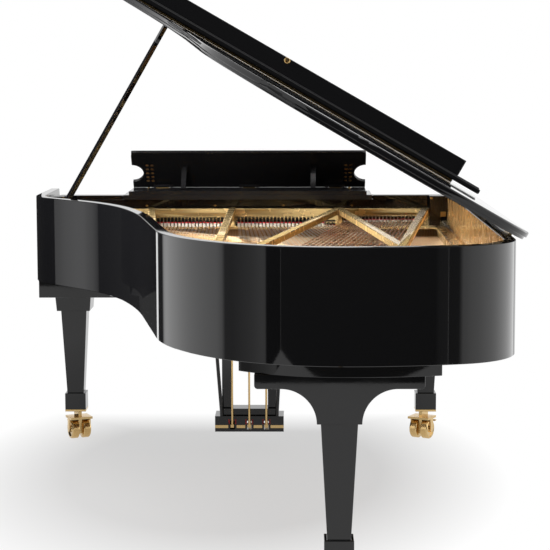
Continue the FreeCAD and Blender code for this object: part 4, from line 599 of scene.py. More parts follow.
class Maker:
    """Gathers the solids of one piece."""

    def __init__(self):
        self.shape = bmesh.new()

    def block(self, low, high, material=0):
        """A box between two opposite corners."""
        corners = [(x, y, z) for z in (low[2], high[2]) for y in (low[1], high[1]) for x in (low[0], high[0])]
        verts = [self.shape.verts.new(corner) for corner in corners]
        for order in ((0, 2, 3, 1), (4, 5, 7, 6), (0, 1, 5, 4), (2, 6, 7, 3), (0, 4, 6, 2), (1, 3, 7, 5)):
            self.shape.faces.new([verts[i] for i in order]).material_index = material

    def skin(self, rings, sides, closed=False, second_finish=None):
        """Joins rings of points; a ring of one point is a tip, and open ends get lids."""
        rings = [[self.shape.verts.new(point) for point in ring] for ring in rings]
        for first, second in zip(rings, rings[1:] + rings[:closed]):
            for i in range(sides):
                j = (i + 1) % sides
                corners = [first[i % len(first)], first[j % len(first)],
                           second[j % len(second)], second[i % len(second)]]
                face = self.shape.faces.new(list(dict.fromkeys(corners)))
                if second_finish and second_finish(i, corners[0].co):
                    face.material_index = 1
        for ring in () if closed else (rings[0][::-1], rings[-1]):
            if len(ring) > 1:
                self.shape.faces.new(ring)

    def turned(self, origin, axis, profile, sides, closed=False):
        """A profile of (along, radius) pairs turned about an axis."""
        axis = Vector(axis).normalized()
        across = axis.orthogonal().normalized()
        other = axis.cross(across)
        rings = []
        for along, radius in profile:
            middle = Vector(origin) + axis * along
            rings.append([middle + (across * math.cos(a) + other * math.sin(a)) * radius for a in circle(sides)]
                         if radius else [middle])
        self.skin(rings, sides, closed)

    def piece(self, name, materials, body, width=0.0, node=None):
        bmesh.ops.recalc_face_normals(self.shape, faces=self.shape.faces)
        mesh = bpy.data.meshes.new(name)
        self.shape.to_mesh(mesh)
        self.shape.free()
        made = settle(linked(name, mesh), materials, body, node)
        if width:
            return eased(made, width, segments=2)
        mesh.shade_smooth()
        mesh.set_sharp_from_angle(angle=SHARP_ANGLE)
        return made


# Outline of the rim: straight spine, rounded tail, waist, bentside and cheek.

SPINE_END_SHARE = 0.874
TAIL_X_SHARE = -0.204
WAIST_SHARES = ((0.141, 0.7476), (0.191, 0.524))
BENT_SHARES = ((0.382, 0.153), (0.463, 0.0786))


def plan(x_share, tail_share):
    cheek = sizes().cheek_length
    return spot(CASE_WIDTH * x_share, cheek + (CASE_LENGTH - cheek) * tail_share, 0)


def left_of(v):
    return Vector((-v.y, v.x, 0))


def bend(start, tangent, end):
    """An arc as its start, first tangent, end, last tangent and radius, which a straight line lacks."""
    chord = end - start
    side = left_of(tangent).dot(chord)
    along = chord.normalized()
    leave = along * (2 * tangent.dot(along)) - tangent
    radius = None if abs(side) < chord.length * 1e-6 else chord.dot(chord) / (2 * side)
    return (start, tangent, end, leave, radius)


def two_bends(start, t0, end, t1):
    """Two arcs that meet smoothly between two points with given tangents."""
    v = end - start
    t = t0 + t1
    lead = 2 * (1 - t0.dot(t1))
    reach = (math.sqrt(v.dot(t) ** 2 + lead * v.dot(v)) - v.dot(t)) / lead
    middle = (start + end + (t0 - t1) * reach) / 2
    first = bend(start, t0, middle)
    return [first, bend(middle, first[3], end)]


def rim_bends():
    spine_end = plan(-0.5, SPINE_END_SHARE)
    tail = plan(TAIL_X_SHARE, 1)
    waist = [plan(*shares) for shares in WAIST_SHARES]
    bent = [plan(*shares) for shares in BENT_SHARES]
    cheek = plan(0.5, 0)
    waist_line = (waist[1] - waist[0]).normalized()
    bent_line = (bent[1] - bent[0]).normalized()
    return [
        bend(spot(-CASE_WIDTH / 2, 0, 0), AXIS_Y, spine_end),
        *two_bends(spine_end, AXIS_Y, tail, AXIS_X),
        *two_bends(tail, AXIS_X, waist[0], waist_line),
        bend(waist[0], waist_line, waist[1]),
        *two_bends(waist[1], waist_line, bent[0], bent_line),
        bend(bent[0], bent_line, bent[1]),
        *two_bends(bent[1], bent_line, cheek, -AXIS_Y),
        bend(cheek, -AXIS_Y, spot(CASE_WIDTH / 2, 0, 0)),
    ]


def rim_line(step):
    """Points along the rim with the way in towards the case."""
    line = []
    for start, t0, end, t1, radius in rim_bends():
        reach = (end - start).length
        count = max(2, int(reach / step))
        for i in range(count):
            share = i / count
            if radius is None:
                line.append((start.lerp(end, share), -left_of(t0)))
                continue
            centre = start + left_of(t0) * radius
            sweep = 2 * math.asin(max(-1, min(1, reach / (2 * radius))))
            turn = Matrix.Rotation(sweep * share, 3, "Z")
            line.append((centre + turn @ (start - centre), -left_of(turn @ t0)))
        last = (end.copy(), -left_of(t1))
    return line + [last]


def rim_height(y):
    """Top of the rim above a depth, with the scooped arms at the front."""
    drop = sizes().arm_drop
    run = y - FRONT_Y - sizes().arm_flat
    if run <= 0:
        return RIM_HIGH.z - drop
    if run >= drop:
        return RIM_HIGH.z
    return RIM_HIGH.z - math.sqrt(drop * drop - run * run)


def rounded_wall(wall, low, top, round_over, steps=4):
    """Section of the rim as (inset, height) pairs, from the outer foot over the top to the inner foot."""
    arc = [math.pi / 2 * i / steps for i in range(steps + 1)]
    outer = [(round_over * (1 - math.cos(a)), top - round_over * (1 - math.sin(a))) for a in arc]
    inner = [(wall - round_over * (1 - math.sin(a)), top - round_over * (1 - math.cos(a))) for a in arc]
    return [(round_over / 2, low), (0, low + round_over / 2), *outer, *inner, (wall, low)]


# Pieces


class PianoOperator:
    bl_options = {"REGISTER", "UNDO"}


class GRANDPIANO_OT_case(PianoOperator, bpy.types.Operator):
    """Shape and finish the rim, the keybed and the rails"""
    bl_idname = "grandpiano.case"
    bl_label = "Case"

    ROUNDINGS = {"keybed": 1.5, "key_slip": 1, "cheek_blocks": 1.5, "cross_rails": 1.2, "rear_leg_block": 1}
    RIM_STEP = 0.008
    RIM_SHARP_ANGLE = math.radians(40)
    KNOB_SHARES = (-0.262, -0.09, 0.082, 0.254)
    KNOB_DROP = 0.0215
    KNOB_PROFILE = ((0.6, 0.45), (0.8, 0.9), (1.4, 1), (1.9, 0.75), (2.1, 0))
    STUD_PROFILE = ((0, 0.0055), (0.0012, 0.0055), (0.0026, 0.0042), (0.0032, 0))
    STUD_INSET, STUD_DROP, STUD_SUNK = 0.062, 0.008, 0.0002
    BLOCK_RISE, BLOCK_BEHIND, BLOCK_WIDTH, BLOCK_DEPTH, BLOCK_HEIGHT = 0.017, 0.037, 0.069, 0.03, 0.06
    LOWER_INSET, LOWER_FOOT, LOWER_TOP = 0.027, 0.112, 0.0595
    FILLER_START, FILLER_DEPTHS, FILLER_LEVELS = 0.479, (0.548, 0.58), (0.984, 1.001)
    WALL_GAP = 0.0003

    def execute(self, context):
        self.make_rim()
        for node, share in self.ROUNDINGS.items():
            copied(node, ["lacquer"], sizes().edge_round * share)
        coat("maple", "inner_rim", "braces")
        self.make_knobs()
        self.make_end_blocks()
        return {"FINISHED"}

    def make_rim(self):
        rings = []
        for point, inward in rim_line(self.RIM_STEP):
            section = rounded_wall(sizes().rim_wall, RIM_LOW.z, rim_height(point.y), sizes().rim_round)
            rings.append([point + inward * inset + AXIS_Z * z for inset, z in section])
        start = FRONT_Y + sizes().veneer_start
        count = len(rings[0])
        rim = Maker()
        rim.skin(rings, count, second_finish=lambda i, point: i >= count - 2 and point.y > start)
        piece = rim.piece("rim", ["lacquer", "veneer"], "case", node="outer_rim")
        piece.data.set_sharp_from_angle(angle=self.RIM_SHARP_ANGLE)
        piece.modifiers.new("flat_walls", "WEIGHTED_NORMAL").keep_sharp = True

    def make_knobs(self):
        low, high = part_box("cross_rails")
        radius = sizes().knob_radius
        profile = [(-0.001, radius * 0.5)] + [(radius * along, radius * out) for along, out in self.KNOB_PROFILE]
        knobs = Maker()
        for share in self.KNOB_SHARES:
            x = MIDDLE_X + share * (high.x - low.x)
            knobs.turned((x, high.y, high.z - self.KNOB_DROP), AXIS_Y, profile, 20)
        knobs.piece("rail_knobs", ["brass"], "case")

    def make_end_blocks(self):
        """Black blocks and fillers between the rail's ends and the rim, with a brass stud on each side."""
        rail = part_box("cross_rails")[1]
        top, front = rail.z + self.BLOCK_RISE, rail.y + self.BLOCK_BEHIND
        rear = front + self.BLOCK_DEPTH
        wall = CASE_WIDTH / 2 - sizes().rim_wall
        upper = (wall - self.WALL_GAP, top - self.BLOCK_HEIGHT, top)
        lower = (wall - self.LOWER_INSET, top - self.LOWER_FOOT, top - self.LOWER_TOP)
        near, far = zip(self.FILLER_DEPTHS, self.FILLER_LEVELS)
        blocks = Maker()
        studs = Maker()
        for side in SIDES:
            for outer, foot, head in (upper, lower):
                inner = wall - self.BLOCK_WIDTH
                blocks.block((MIDDLE_X + side * outer, front, foot), (MIDDLE_X + side * inner, rear, head))
            stud = (MIDDLE_X + side * (wall - self.STUD_INSET), rear - self.STUD_SUNK, top - self.STUD_DROP)
            studs.turned(stud, AXIS_Y, self.STUD_PROFILE, 20)
            blocks.block(spot(side * self.FILLER_START, *near), spot(side * (wall - self.WALL_GAP), *far))
        blocks.piece("rail_end_blocks", ["lacquer"], "case", sizes().edge_round)
        studs.piece("rail_end_studs", ["brass"], "case")


class GRANDPIANO_OT_lid(PianoOperator, bpy.types.Operator):
    """Finish the lid, its front flap, hinges and stick"""
    bl_idname = "grandpiano.lid"
    bl_label = "Lid"

    LOCK_PLACE = (0.012, 0.121, 0.968)
    LOCK_PROFILE = ((0, 0.62), (0.0016, 0.62), (0.0024, 0.45), (0.0024, 0))
    RING_OUT = 0.004

    def execute(self, context):
        for node, share, angle in (("lid", 2, 50), ("front_flap", 2, 50), ("flap_lip", 1.5, 30), ("lid_stick", 1, 30)):
            copied(node, ["lacquer"], sizes().edge_round * share, angle)
        copied("stick_bracket", ["lacquer"], sizes().metal_round)
        coat("brass", "lid_hinges", "lid_hinge_leaves", "flap_hinge")
        coat("leather", "stick_pad")
        self.make_ring()
        return {"FINISHED"}

    def make_ring(self):
        """Lock plate and ring on the outer face of the drop lip."""
        radius = sizes().ring_radius
        middle = on_flap(*self.LOCK_PLACE)
        middle.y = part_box("flap_lip")[1].y
        thick = radius * 0.2
        hoop = [(thick * math.sin(a), radius * 0.85 + thick * math.cos(a)) for a in circle(10)]
        lock = Maker()
        lock.turned(middle - AXIS_Y * 0.0005, AXIS_Y, [(along, radius * out) for along, out in self.LOCK_PROFILE], 28)
        lock.turned(middle + AXIS_Y * self.RING_OUT, AXIS_Y, hoop, 32, closed=True)
        lock.piece("lip_lock", ["brass"], "flap")


class GRANDPIANO_OT_desk(PianoOperator, bpy.types.Operator):
    """Finish the desk tray, the music desk and its struts"""
    bl_idname = "grandpiano.desk"
    bl_label = "Music desk"

    FLUSH = 1e-4
    NOTCH = 0.044
    HOLE = NOTCH / 6
    HOLES_UP = 0.184 * 0.33
    HOLES_INSET, HOLE_ROWS, HOLE_COLUMNS = NOTCH * 1.35, 5, 2
    ROW_STEP, COLUMN_STEP = HOLE * 2.8, HOLE * 2.6
    GAUZE_BACK, GAUZE_THICK = -0.0155, 0.003
    BEAD_DEPTHS, BEAD_HEIGHT = (0.386, 0.3905), 0.0056
    HINGE_SHARES, HINGE_ROOM = (-0.715, 0.0, 0.715), 0.0265
    STUD_SHARES, STUD_ROOM = (-0.83, 0.83), 0.0085
    LEAF_HALF, LEAF_DEPTHS, LEAF_SUNK, LEAF_TOP = 0.026, (0.388, 0.406), 0.001, 0.0016
    BARREL_RADIUS, BARREL_UP = 0.0032, 0.0028
    SCREW_PLACES, SCREW_DEPTH, SCREW_UP = (-0.017, 0.0, 0.017), 0.3985, 0.0014
    STUD_DEPTH, STUD_SUNK = 0.392, 0.0005
    TRAY_DROP, BEAD_DROP, BEAD_INSET = 0.0035, 0.004, 0.002
    SCREW_PROFILE = ((0, 0.0026), (0.0007, 0.0022), (0.001, 0))
    STUD_PROFILE = ((0, 0.008), (0.0022, 0.008), (0.003, 0.0055), (0.0058, 0.005), (0.0066, 0.0035), (0.0068, 0))

    def execute(self, context):
        copied("desk_tray", ["satin"], sizes().edge_round * 1.4, angle=40)
        desk = copied("music_desk", ["satin"], sizes().desk_shoulder, segments=6, change=self.trim_top)
        self.round_shoulders(desk)
        copied("desk_struts", ["satin"], sizes().metal_round, angle=60)
        self.make_beads()
        self.make_hinges()
        self.make_gauze()
        return {"FINISHED"}

    def desk_spot(self, x, back, up):
        """A point of the leaning desk from its hinge line."""
        turn = Matrix.Rotation(-DESK_LEAN, 3, "X")
        return spot(0, *DESK_HINGE) + turn @ Vector((x, back, up))

    def rise(self):
        return (self.desk_spot(0, 0, 1) - self.desk_spot(0, 0, 0)).normalized()

    def height(self, vert):
        return vert.co.dot(self.rise())

    def trim_top(self, shape):
        top = max(map(self.height, shape.verts)) - self.FLUSH
        for vert in shape.verts:
            if self.height(vert) > top:
                vert.co -= self.rise() * sizes().desk_trim

    def round_shoulders(self, desk):
        """Rounds the upper corners of the desk widely and its other edges slightly."""
        top = max(map(self.height, desk.data.vertices)) - self.FLUSH

        def share(edge, weight):
            if not all(self.height(vert) > top for vert in edge.verts):
                return weight * sizes().edge_round / sizes().desk_shoulder
            across = edge.calc_length() < 0.1
            return 1.0 if across else sizes().desk_round / sizes().desk_shoulder

        weighted(desk, 60, 0.003, hollows=False, share=share)
        desk.data.set_sharp_from_angle(angle=SHARP_ANGLE)

    def half_width(self, node):
        low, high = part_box(node)
        return (high.x - low.x) / 2

    def make_gauze(self):
        """Gauze in the pierced ends of the desk."""
        radius = self.HOLE * 1.02
        first = self.half_width("music_desk") - self.HOLES_INSET
        gauze = Maker()
        for side in SIDES:
            for row in range(self.HOLE_ROWS):
                for column in range(self.HOLE_COLUMNS):
                    x = side * (first - self.COLUMN_STEP * column)
                    up = self.HOLES_UP + (row - self.HOLE_ROWS // 2) * self.ROW_STEP
                    start = self.desk_spot(x, self.GAUZE_BACK, up)
                    way = self.desk_spot(x, 0, up) - start
                    gauze.turned(start, way, [(0, radius), (self.GAUZE_THICK, radius)], 20)
        gauze.piece("desk_gauze", ["veneer"], "music_desk")

    def make_beads(self):
        """Black beads on the tray along the foot of the desk, between the hinges and studs."""
        reach = self.half_width("music_desk") - self.BEAD_INSET
        half = self.half_width("desk_tray")
        gaps = [(half * share, self.HINGE_ROOM) for share in self.HINGE_SHARES]
        gaps += [(half * share, self.STUD_ROOM) for share in self.STUD_SHARES]
        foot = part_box("music_desk")[0].z - self.BEAD_DROP
        front, rear = self.BEAD_DEPTHS
        beads = Maker()
        for left, right in runs(-reach, reach, sorted(gaps)):
            beads.block(spot(left, front, foot), spot(right, rear, foot + self.BEAD_HEIGHT))
        beads.piece("desk_beads", ["satin"], "desk_tray", sizes().edge_round)

    def make_hinges(self):
        """Brass leaves, barrels and studs on the tray behind the desk."""
        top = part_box("music_desk")[0].z - self.TRAY_DROP
        half = self.half_width("desk_tray")
        front, rear = self.LEAF_DEPTHS
        barrel = [(0, self.BARREL_RADIUS), (self.LEAF_HALF * 2, self.BARREL_RADIUS)]
        hinges = Maker()
        for share in self.HINGE_SHARES:
            left, right = half * share - self.LEAF_HALF, half * share + self.LEAF_HALF
            hinges.block(spot(left, front, top - self.LEAF_SUNK), spot(right, rear, top + self.LEAF_TOP))
            hinges.turned(spot(left, front, top + self.BARREL_UP), AXIS_X, barrel, 16)
            for aside in self.SCREW_PLACES:
                screw = spot(half * share + aside, self.SCREW_DEPTH, top + self.SCREW_UP)
                hinges.turned(screw, AXIS_Z, self.SCREW_PROFILE, 14)
        for share in self.STUD_SHARES:
            stud = spot(half * share, self.STUD_DEPTH, top - self.STUD_SUNK)
            hinges.turned(stud, AXIS_Z, self.STUD_PROFILE, 20)
        hinges.piece("desk_hinges", ["brass"], "desk_tray")


class GRANDPIANO_OT_soundboard(PianoOperator, bpy.types.Operator):
    """Finish the soundboard, ribs and bridges"""
    bl_idname = "grandpiano.soundboard"
    bl_label = "Soundboard and bridges"

    def execute(self, context):
        coat("spruce", "soundboard", "soundboard_ribs")
        coat("maple", "long_bridge", "bass_bridge")
        return {"FINISHED"}


class GRANDPIANO_OT_plate(PianoOperator, bpy.types.Operator):
    """Finish the cast plate, the pinblock and the tuning pins"""
    bl_idname = "grandpiano.plate"
    bl_label = "Plate and pins"

    def execute(self, context):
        plate = copied("iron_plate", ["bronze"], sizes().plate_round)
        weighted(plate, 40, 0.03)
        coat("maple", "pinblock")
        coat("steel", "tuning_pins")
        return {"FINISHED"}


class GRANDPIANO_OT_strings(PianoOperator, bpy.types.Operator):
    """Finish the plain strings and the wound bass strings"""
    bl_idname = "grandpiano.strings"
    bl_label = "Strings"

    def execute(self, context):
        coat("steel", "treble_strings")
        coat("copper", "bass_strings")
        return {"FINISHED"}


class GRANDPIANO_OT_dampers(PianoOperator, bpy.types.Operator):
    """Build the damper heads with their felts"""
    bl_idname = "grandpiano.dampers"
    bl_label = "Dampers"

    BASS_SHARE = 0.21
    RED_SHARE = 0.24
    FELT_INSET, RED_INSET = Vector((0.0006, 0.001, 0)), Vector((0.0002, 0, 0))

    def execute(self, context):
        heads = Maker()
        felts = Maker()
        bass_end = MIDDLE_X - CASE_WIDTH * self.BASS_SHARE
        for low, high in islands("damper_heads"):
            if high.x < bass_end:
                high.z = min(high.z, low.z + sizes().bass_damper)
            felt_height = (high.z - low.z) * sizes().felt_share
            middle = low.z + felt_height
            bushing = middle - felt_height * self.RED_SHARE
            heads.block((low.x, low.y, middle), high)
            for inset, foot, top, material in ((self.FELT_INSET, low.z, bushing, 0),
                                               (self.RED_INSET, bushing, middle, 1)):
                felts.block((*(low + inset).xy, foot), (*(high - inset).xy, top), material)
        heads.piece("damper_blocks", ["lacquer"], "dampers", sizes().metal_round, node="damper_heads")
        felts.piece("damper_felts", ["white_felt", "red_felt"], "dampers", sizes().metal_round)
        return {"FINISHED"}


class GRANDPIANO_OT_keyboard(PianoOperator, bpy.types.Operator):
    """Finish the keys, the key frame and the fallboard"""
    bl_idname = "grandpiano.keyboard"
    bl_label = "Keyboard"

    def execute(self, context):
        copied("white_keys_a", ["key_cover"], sizes().metal_round)
        copied("white_keys_b", ["key_cover"], sizes().metal_round)
        copied("black_keys", ["sharp_cover"], sizes().metal_round * 2)
        coat("maple", "key_frame")
        copied("fallboard", ["lacquer"], sizes().edge_round, angle=50)
        return {"FINISHED"}


class GRANDPIANO_OT_action(PianoOperator, bpy.types.Operator):
    """Finish the hammers and the hammer rail"""
    bl_idname = "grandpiano.action"
    bl_label = "Action"

    def execute(self, context):
        coat("hammer", "hammers_white_a", "hammers_white_b", "hammers_black")
        coat("maple", "action_frame")
        return {"FINISHED"}


class GRANDPIANO_OT_legs(PianoOperator, bpy.types.Operator):
    """Finish the legs"""
    bl_idname = "grandpiano.legs"
    bl_label = "Legs"

    def execute(self, context):
        for end in CASTER_TURNS:
            copied("leg_" + end, ["lacquer"], sizes().edge_round, angle=25)
        return {"FINISHED"}


class GRANDPIANO_OT_casters(PianoOperator, bpy.types.Operator):
    """Finish the casters, wheels and brake levers"""
    bl_idname = "grandpiano.casters"
    bl_label = "Casters"

    BORE = 0.0065
    GROOVES, TREAD_START, TREAD_STEP = 7, 0.0115, 0.0034
    INNER_PROFILE = ((0.0075, 0.88), (0.0095, 0.97))
    OUTER_PROFILE = ((0.0365, 0.97), (0.039, 0.9), (0.039, 0.78), (0.0345, 0.72), (0.0345, 0.36), (0.0388, 0.32))
    TRAIL = 0.03
    FOOT_HALF, FOOT_HOLE, FOOT_SIDES = 0.0415, 0.0325, 48
    LEG_GAP = 0.0002

    def execute(self, context):
        for end, turn in CASTER_TURNS.items():
            copied("caster_" + end, ["brass"], sizes().metal_round * 2)
            copied("brake_" + end, ["brass"], sizes().metal_round)
            self.make_wheels(end, turn)
            self.make_foot(end, turn)
        return {"FINISHED"}

    def make_wheels(self, end, turn):
        """Two turned wheels with grooved treads and dished outer faces."""
        low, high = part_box("wheels_" + end)
        radius = (high.z - low.z) / 2
        axle = Vector((math.cos(turn), math.sin(turn), 0))
        profile = [(self.INNER_PROFILE[0][0], self.BORE)]
        profile += [(along, radius * out) for along, out in self.INNER_PROFILE]
        for step in range(self.GROOVES):
            start = self.TREAD_START + step * self.TREAD_STEP
            profile += [(start, radius), (start + 0.0022, radius), (start + 0.0028, radius - sizes().groove_depth)]
        profile += [(along, radius * out) for along, out in self.OUTER_PROFILE]
        profile.append((self.OUTER_PROFILE[-1][0], self.BORE))
        wheels = Maker()
        for way in (axle, -axle):
            wheels.turned((low + high) / 2, way, profile, 48)
        wheels.piece("wheels_%s_turned" % end, ["brass"], "wheels_" + end, node="wheels_" + end)

    def make_foot(self, end, turn):
        """Square plate under the leg, round the swivel's disc."""
        leg_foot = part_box("leg_" + end)[0].z
        middle = middle_of("wheels_" + end) - Vector((math.sin(turn), -math.cos(turn), 0)) * self.TRAIL
        ways = [Vector((math.cos(a), math.sin(a), 0)) for a in circle(self.FOOT_SIDES)]
        hole = [way * self.FOOT_HOLE for way in ways]
        square = [way * (self.FOOT_HALF / max(abs(way.x), abs(way.y))) for way in ways]
        top = Vector((middle.x, middle.y, leg_foot - self.LEG_GAP))
        under = Vector((middle.x, middle.y, leg_foot - sizes().plate_height))
        loop = ((top, hole), (top, square), (under, square), (under, hole))
        foot = Maker()
        foot.skin([[base + way for way in ring] for base, ring in loop], self.FOOT_SIDES, closed=True)
        foot.piece("foot_plate_" + end, ["brass"], "case", sizes().metal_round)


class GRANDPIANO_OT_lyre(PianoOperator, bpy.types.Operator):
    """Finish the lyre, the pedals and their rods"""
    bl_idname = "grandpiano.lyre"
    bl_label = "Lyre and pedals"

    STRIP_ROOM = 0.0165
    STRIP_LOW, STRIP_HIGH, STRIP_OUT = 0.0145, 0.0265, 0.0009
    BUSHING_NEAR, BUSHING_FAR = 0.0105, 0.0155
    BUSHING_LOW, BUSHING_HIGH, BUSHING_OUT = 0.03, 0.05, 0.0014
    SUNK = 0.0006

    def execute(self, context):
        copied("lyre_frame", ["lacquer"], sizes().edge_round)
        copied("pedal_box", ["lacquer"], sizes().edge_round)
        coat("lacquer", "lyre_braces")
        for name in PEDALS:
            copied("pedal_" + name, ["brass"], sizes().metal_round)
            coat("brass", "rod_" + name)
        self.make_strip()
        return {"FINISHED"}

    def make_strip(self):
        """Brass strip and red bushings on the rear of the pedal box."""
        low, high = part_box("pedal_box")
        rods = sorted(middle_of("rod_" + name).x for name in PEDALS)
        sunk = high.y - self.SUNK
        strip = Maker()
        for left, right in runs(low.x, high.x, [(x, self.STRIP_ROOM) for x in rods]):
            strip.block((left, sunk, low.z + self.STRIP_LOW), (right, high.y + self.STRIP_OUT, low.z + self.STRIP_HIGH))
        for x in rods:
            for side in SIDES:
                strip.block((x + side * self.BUSHING_NEAR, sunk, low.z + self.BUSHING_LOW),
                            (x + side * self.BUSHING_FAR, high.y + self.BUSHING_OUT, low.z + self.BUSHING_HIGH), 1)
        strip.piece("pedal_strip", ["brass", "red_felt"], "case", sizes().metal_round / 2)


class GRANDPIANO_OT_stage(PianoOperator, bpy.types.Operator):
    """Set the camera, the floor, the world, the reflection sheets and the lamps"""
    bl_idname = "grandpiano.stage"
    bl_label = "Stage"

    FLOOR_REACH = 60
    SENSOR_WIDTH, CLIP_END = 36, 200
    FILL_STRENGTH = 0.4
    SHEET_CORNERS = ((0, 0), (1, 0), (1, 1), (0, 1))
    # Glow of the upright sheets, as (depth, strength) pairs.
    TREBLE = ((-9.0, 0.02), (-1.9, 0.05), (-1.5, 0.9), (-0.9, 1.2), (0.3, 1.34), (2.53, 1.28), (2.77, 1.0),
              (2.93, 0.25), (3.27, 0.26), (4.26, 0.5), (4.84, 0.7), (5.05, 0.68), (5.14, 0.05), (6.2, 0.05))
    BASS = ((-1.0, 2.2), (1.79, 2.2), (2.23, 2.1), (2.58, 1.9), (2.93, 1.73), (3.3, 1.6), (3.96, 1.34),
            (4.84, 1.15), (5.56, 0.91), (5.65, 0.43), (5.73, 0.14), (6.2, 0.12))
    FAR_FLAG = ((-2.6, 0.02), (0.5, 0.03), (0.56, 0.12), (0.6, 0.3), (0.64, 0.48), (0.68, 0.6), (0.71, 0.77),
                (0.75, 0.87), (0.78, 0.95))
    NEAR_FLAG = ((-1.4, 0.02), (0.762, 0.03))
    WAIST_STRIP = ((1.15, 1.6), (1.45, 1.6))
    # Name, place aside, height and glow of the upright sheets.
    UPRIGHTS = (("treble_side", 3.0, 3.0, TREBLE), ("bass_side", -3.0, 3.0, BASS), ("far_flag", 1.376, 1.6, FAR_FLAG),
                ("near_flag", 1.076, 1.6, NEAR_FLAG), ("waist_strip", 0.576, 0.98, WAIST_STRIP))
    # Glow of the other two sheets, as (share, strength) pairs.
    DARK_WALL = ((0.0, 0.18), (0.047, 0.15), (0.068, 0.08), (1.0, 0.08))
    DESK_FLAG = ((0.0, 0.05), (1.0, 0.05))

    def execute(self, context):
        self.set_camera(context.scene)
        self.set_world(context.scene)
        self.lay_floor()
        self.hang_panels()
        self.hang_lamps()
        context.scene.view_settings.view_transform = "Standard"
        return {"FINISHED"}

    def set_camera(self, scene):
        settings = stage_settings()
        data = bpy.data.cameras.new("camera")
        data.sensor_width = self.SENSOR_WIDTH
        data.lens = settings.lens
        data.clip_end = self.CLIP_END
        camera = linked("camera", data)
        aim = Matrix.Rotation(math.pi + settings.yaw, 4, "Z")
        aim = aim @ Matrix.Rotation(math.pi / 2 - settings.pitch, 4, "X") @ Matrix.Rotation(settings.roll, 4, "Z")
        camera.matrix_world = Matrix.Translation(Vector(settings.eye)) @ aim
        scene.camera = camera

    def set_world(self, scene):
        world = bpy.data.worlds.new("studio")
        scene.world = world
        world.use_nodes = True
        tree = world.node_tree
        tree.nodes.clear()
        fill = add_node(tree, "Background", {"Color": WHITE, "Strength": self.FILL_STRENGTH})
        white = add_node(tree, "Background", {"Color": WHITE, "Strength": 1.0})
        blend = add_node(tree, "MixShader", {0: self.seen_rays(tree), 1: fill.outputs[0], 2: white.outputs[0]})
        add_node(tree, "OutputWorld", {"Surface": blend.outputs[0]})

    def seen_rays(self, tree):
        """One for camera, glossy and transmission rays."""
        path = add_node(tree, "LightPath").outputs
        bright = maths(tree, "MAXIMUM", path["Is Camera Ray"], path["Is Glossy Ray"])
        return maths(tree, "MAXIMUM", bright, path["Is Transmission Ray"])

    def sheet(self, name, corners):
        mesh = bpy.data.meshes.new(name)
        mesh.from_pydata(corners, [], [(0, 1, 2, 3)])
        return linked(name, mesh)

    def lay_floor(self):
        """A pale floor that fades to white away from the piano, with a painted shade of grey glow round the piano, and
        is spared by the key lamps.
        """
        reach = self.FLOOR_REACH
        floor = self.sheet("floor", [(-reach, -reach, 0), (reach, -reach, 0), (reach, reach, 0), (-reach, reach, 0)])
        made = Finish("floor")
        tree = made.tree
        place = placed(tree)
        pale = stage_settings().floor
        cloud = noise(tree, place, 0.8, 2.0)
        made.fill(Base_Color=mixed(tree, cloud, tinted(pale), tinted(pale, 0.97)), Roughness=0.9,
                  Specular_IOR_Level=0.1)
        back = ranged(tree, parts_of(tree, place)["Y"], -1.2, -1.6)
        # Painted shade: near the piano the floor glows grey for camera and glossy rays, as a pool of shadow round it;
        # far away it glows white.
        middle = add_node(tree, "Mapping", {"Vector": place, "Location": (-0.1, 0.3, 0), "Scale": (0.96, 0.6, 0)})
        shade_pool_distance = add_node(tree, "VectorMath", {0: middle.outputs[0]}, operation="LENGTH")
        far = maths(tree, "MAXIMUM", back, ranged(tree, shade_pool_distance.outputs["Value"], 0.55, 1.0))
        fade = maths(tree, "MULTIPLY", ranged(tree, far, 0.0, 1.0, 0.72), self.seen_rays(tree))
        glow = add_node(tree, "Emission", {"Color": mixed(tree, far, (0.8, 0.8, 0.8, 1), WHITE), "Strength": 1.0})
        blend = add_node(tree, "MixShader", {0: fade, 1: made.shader.outputs[0], 2: glow.outputs[0]})
        tree.links.new(blend.outputs[0], tree.nodes["Material Output"].inputs["Surface"])
        floor.data.materials.append(made.material)
        self.spared = bpy.data.collections.new("floor_only")
        self.spared.objects.link(floor)
        self.spared.collection_objects[0].light_linking.link_state = "EXCLUDE"

    def panel(self, name, start, end, rise, profile):
        """A sheet for reflections, whose glow follows (share, strength) pairs along its length."""
        start, end, rise = spot(*start), spot(*end), Vector(rise)
        board = self.sheet(name, [start, end, end + rise, start + rise])
        for corner, place in zip(board.data.uv_layers.new(name="along").data, self.SHEET_CORNERS):
            corner.uv = place
        material = bpy.data.materials.new(name)
        material.use_nodes = True
        tree = material.node_tree
        tree.nodes.clear()
        ramp = add_node(tree, "ValToRGB", {0: parts_of(tree, add_node(tree, "TexCoord").outputs["UV"])["X"]})
        stops = ramp.color_ramp.elements
        stops[0].position, stops[1].position = profile[0][0], profile[-1][0]
        for share, strength in profile[1:-1]:
            stops.new(share)
        top = max(strength for share, strength in profile)
        for stop, (share, strength) in zip(stops, profile):
            stop.color = tinted((strength / top,) * 3)
        glow = add_node(tree, "Emission", {"Color": ramp.outputs["Color"], "Strength": top})
        add_node(tree, "OutputMaterial", {"Surface": glow.outputs[0]})
        board.data.materials.append(material)
        for ray in ("camera", "shadow", "transmission", "diffuse"):
            setattr(board, "visible_" + ray, False)

    def hang_panels(self):
        for name, x, high, profile in self.UPRIGHTS:
            first, last = profile[0][0], profile[-1][0]
            shares = [((depth - first) / (last - first), strength) for depth, strength in profile]
            self.panel(name, (x, first, 0), (x, last, 0), (0, 0, high), shares)
        self.panel("dark_wall", (-3.0, 6.22, 0), (3.0, 6.22, 0), (0, 0, 5.0), self.DARK_WALL)
        self.panel("desk_flag", (-0.75, -0.1, 3.0), (0.75, -0.1, 3.0), (0, 0.9, 0), self.DESK_FLAG)

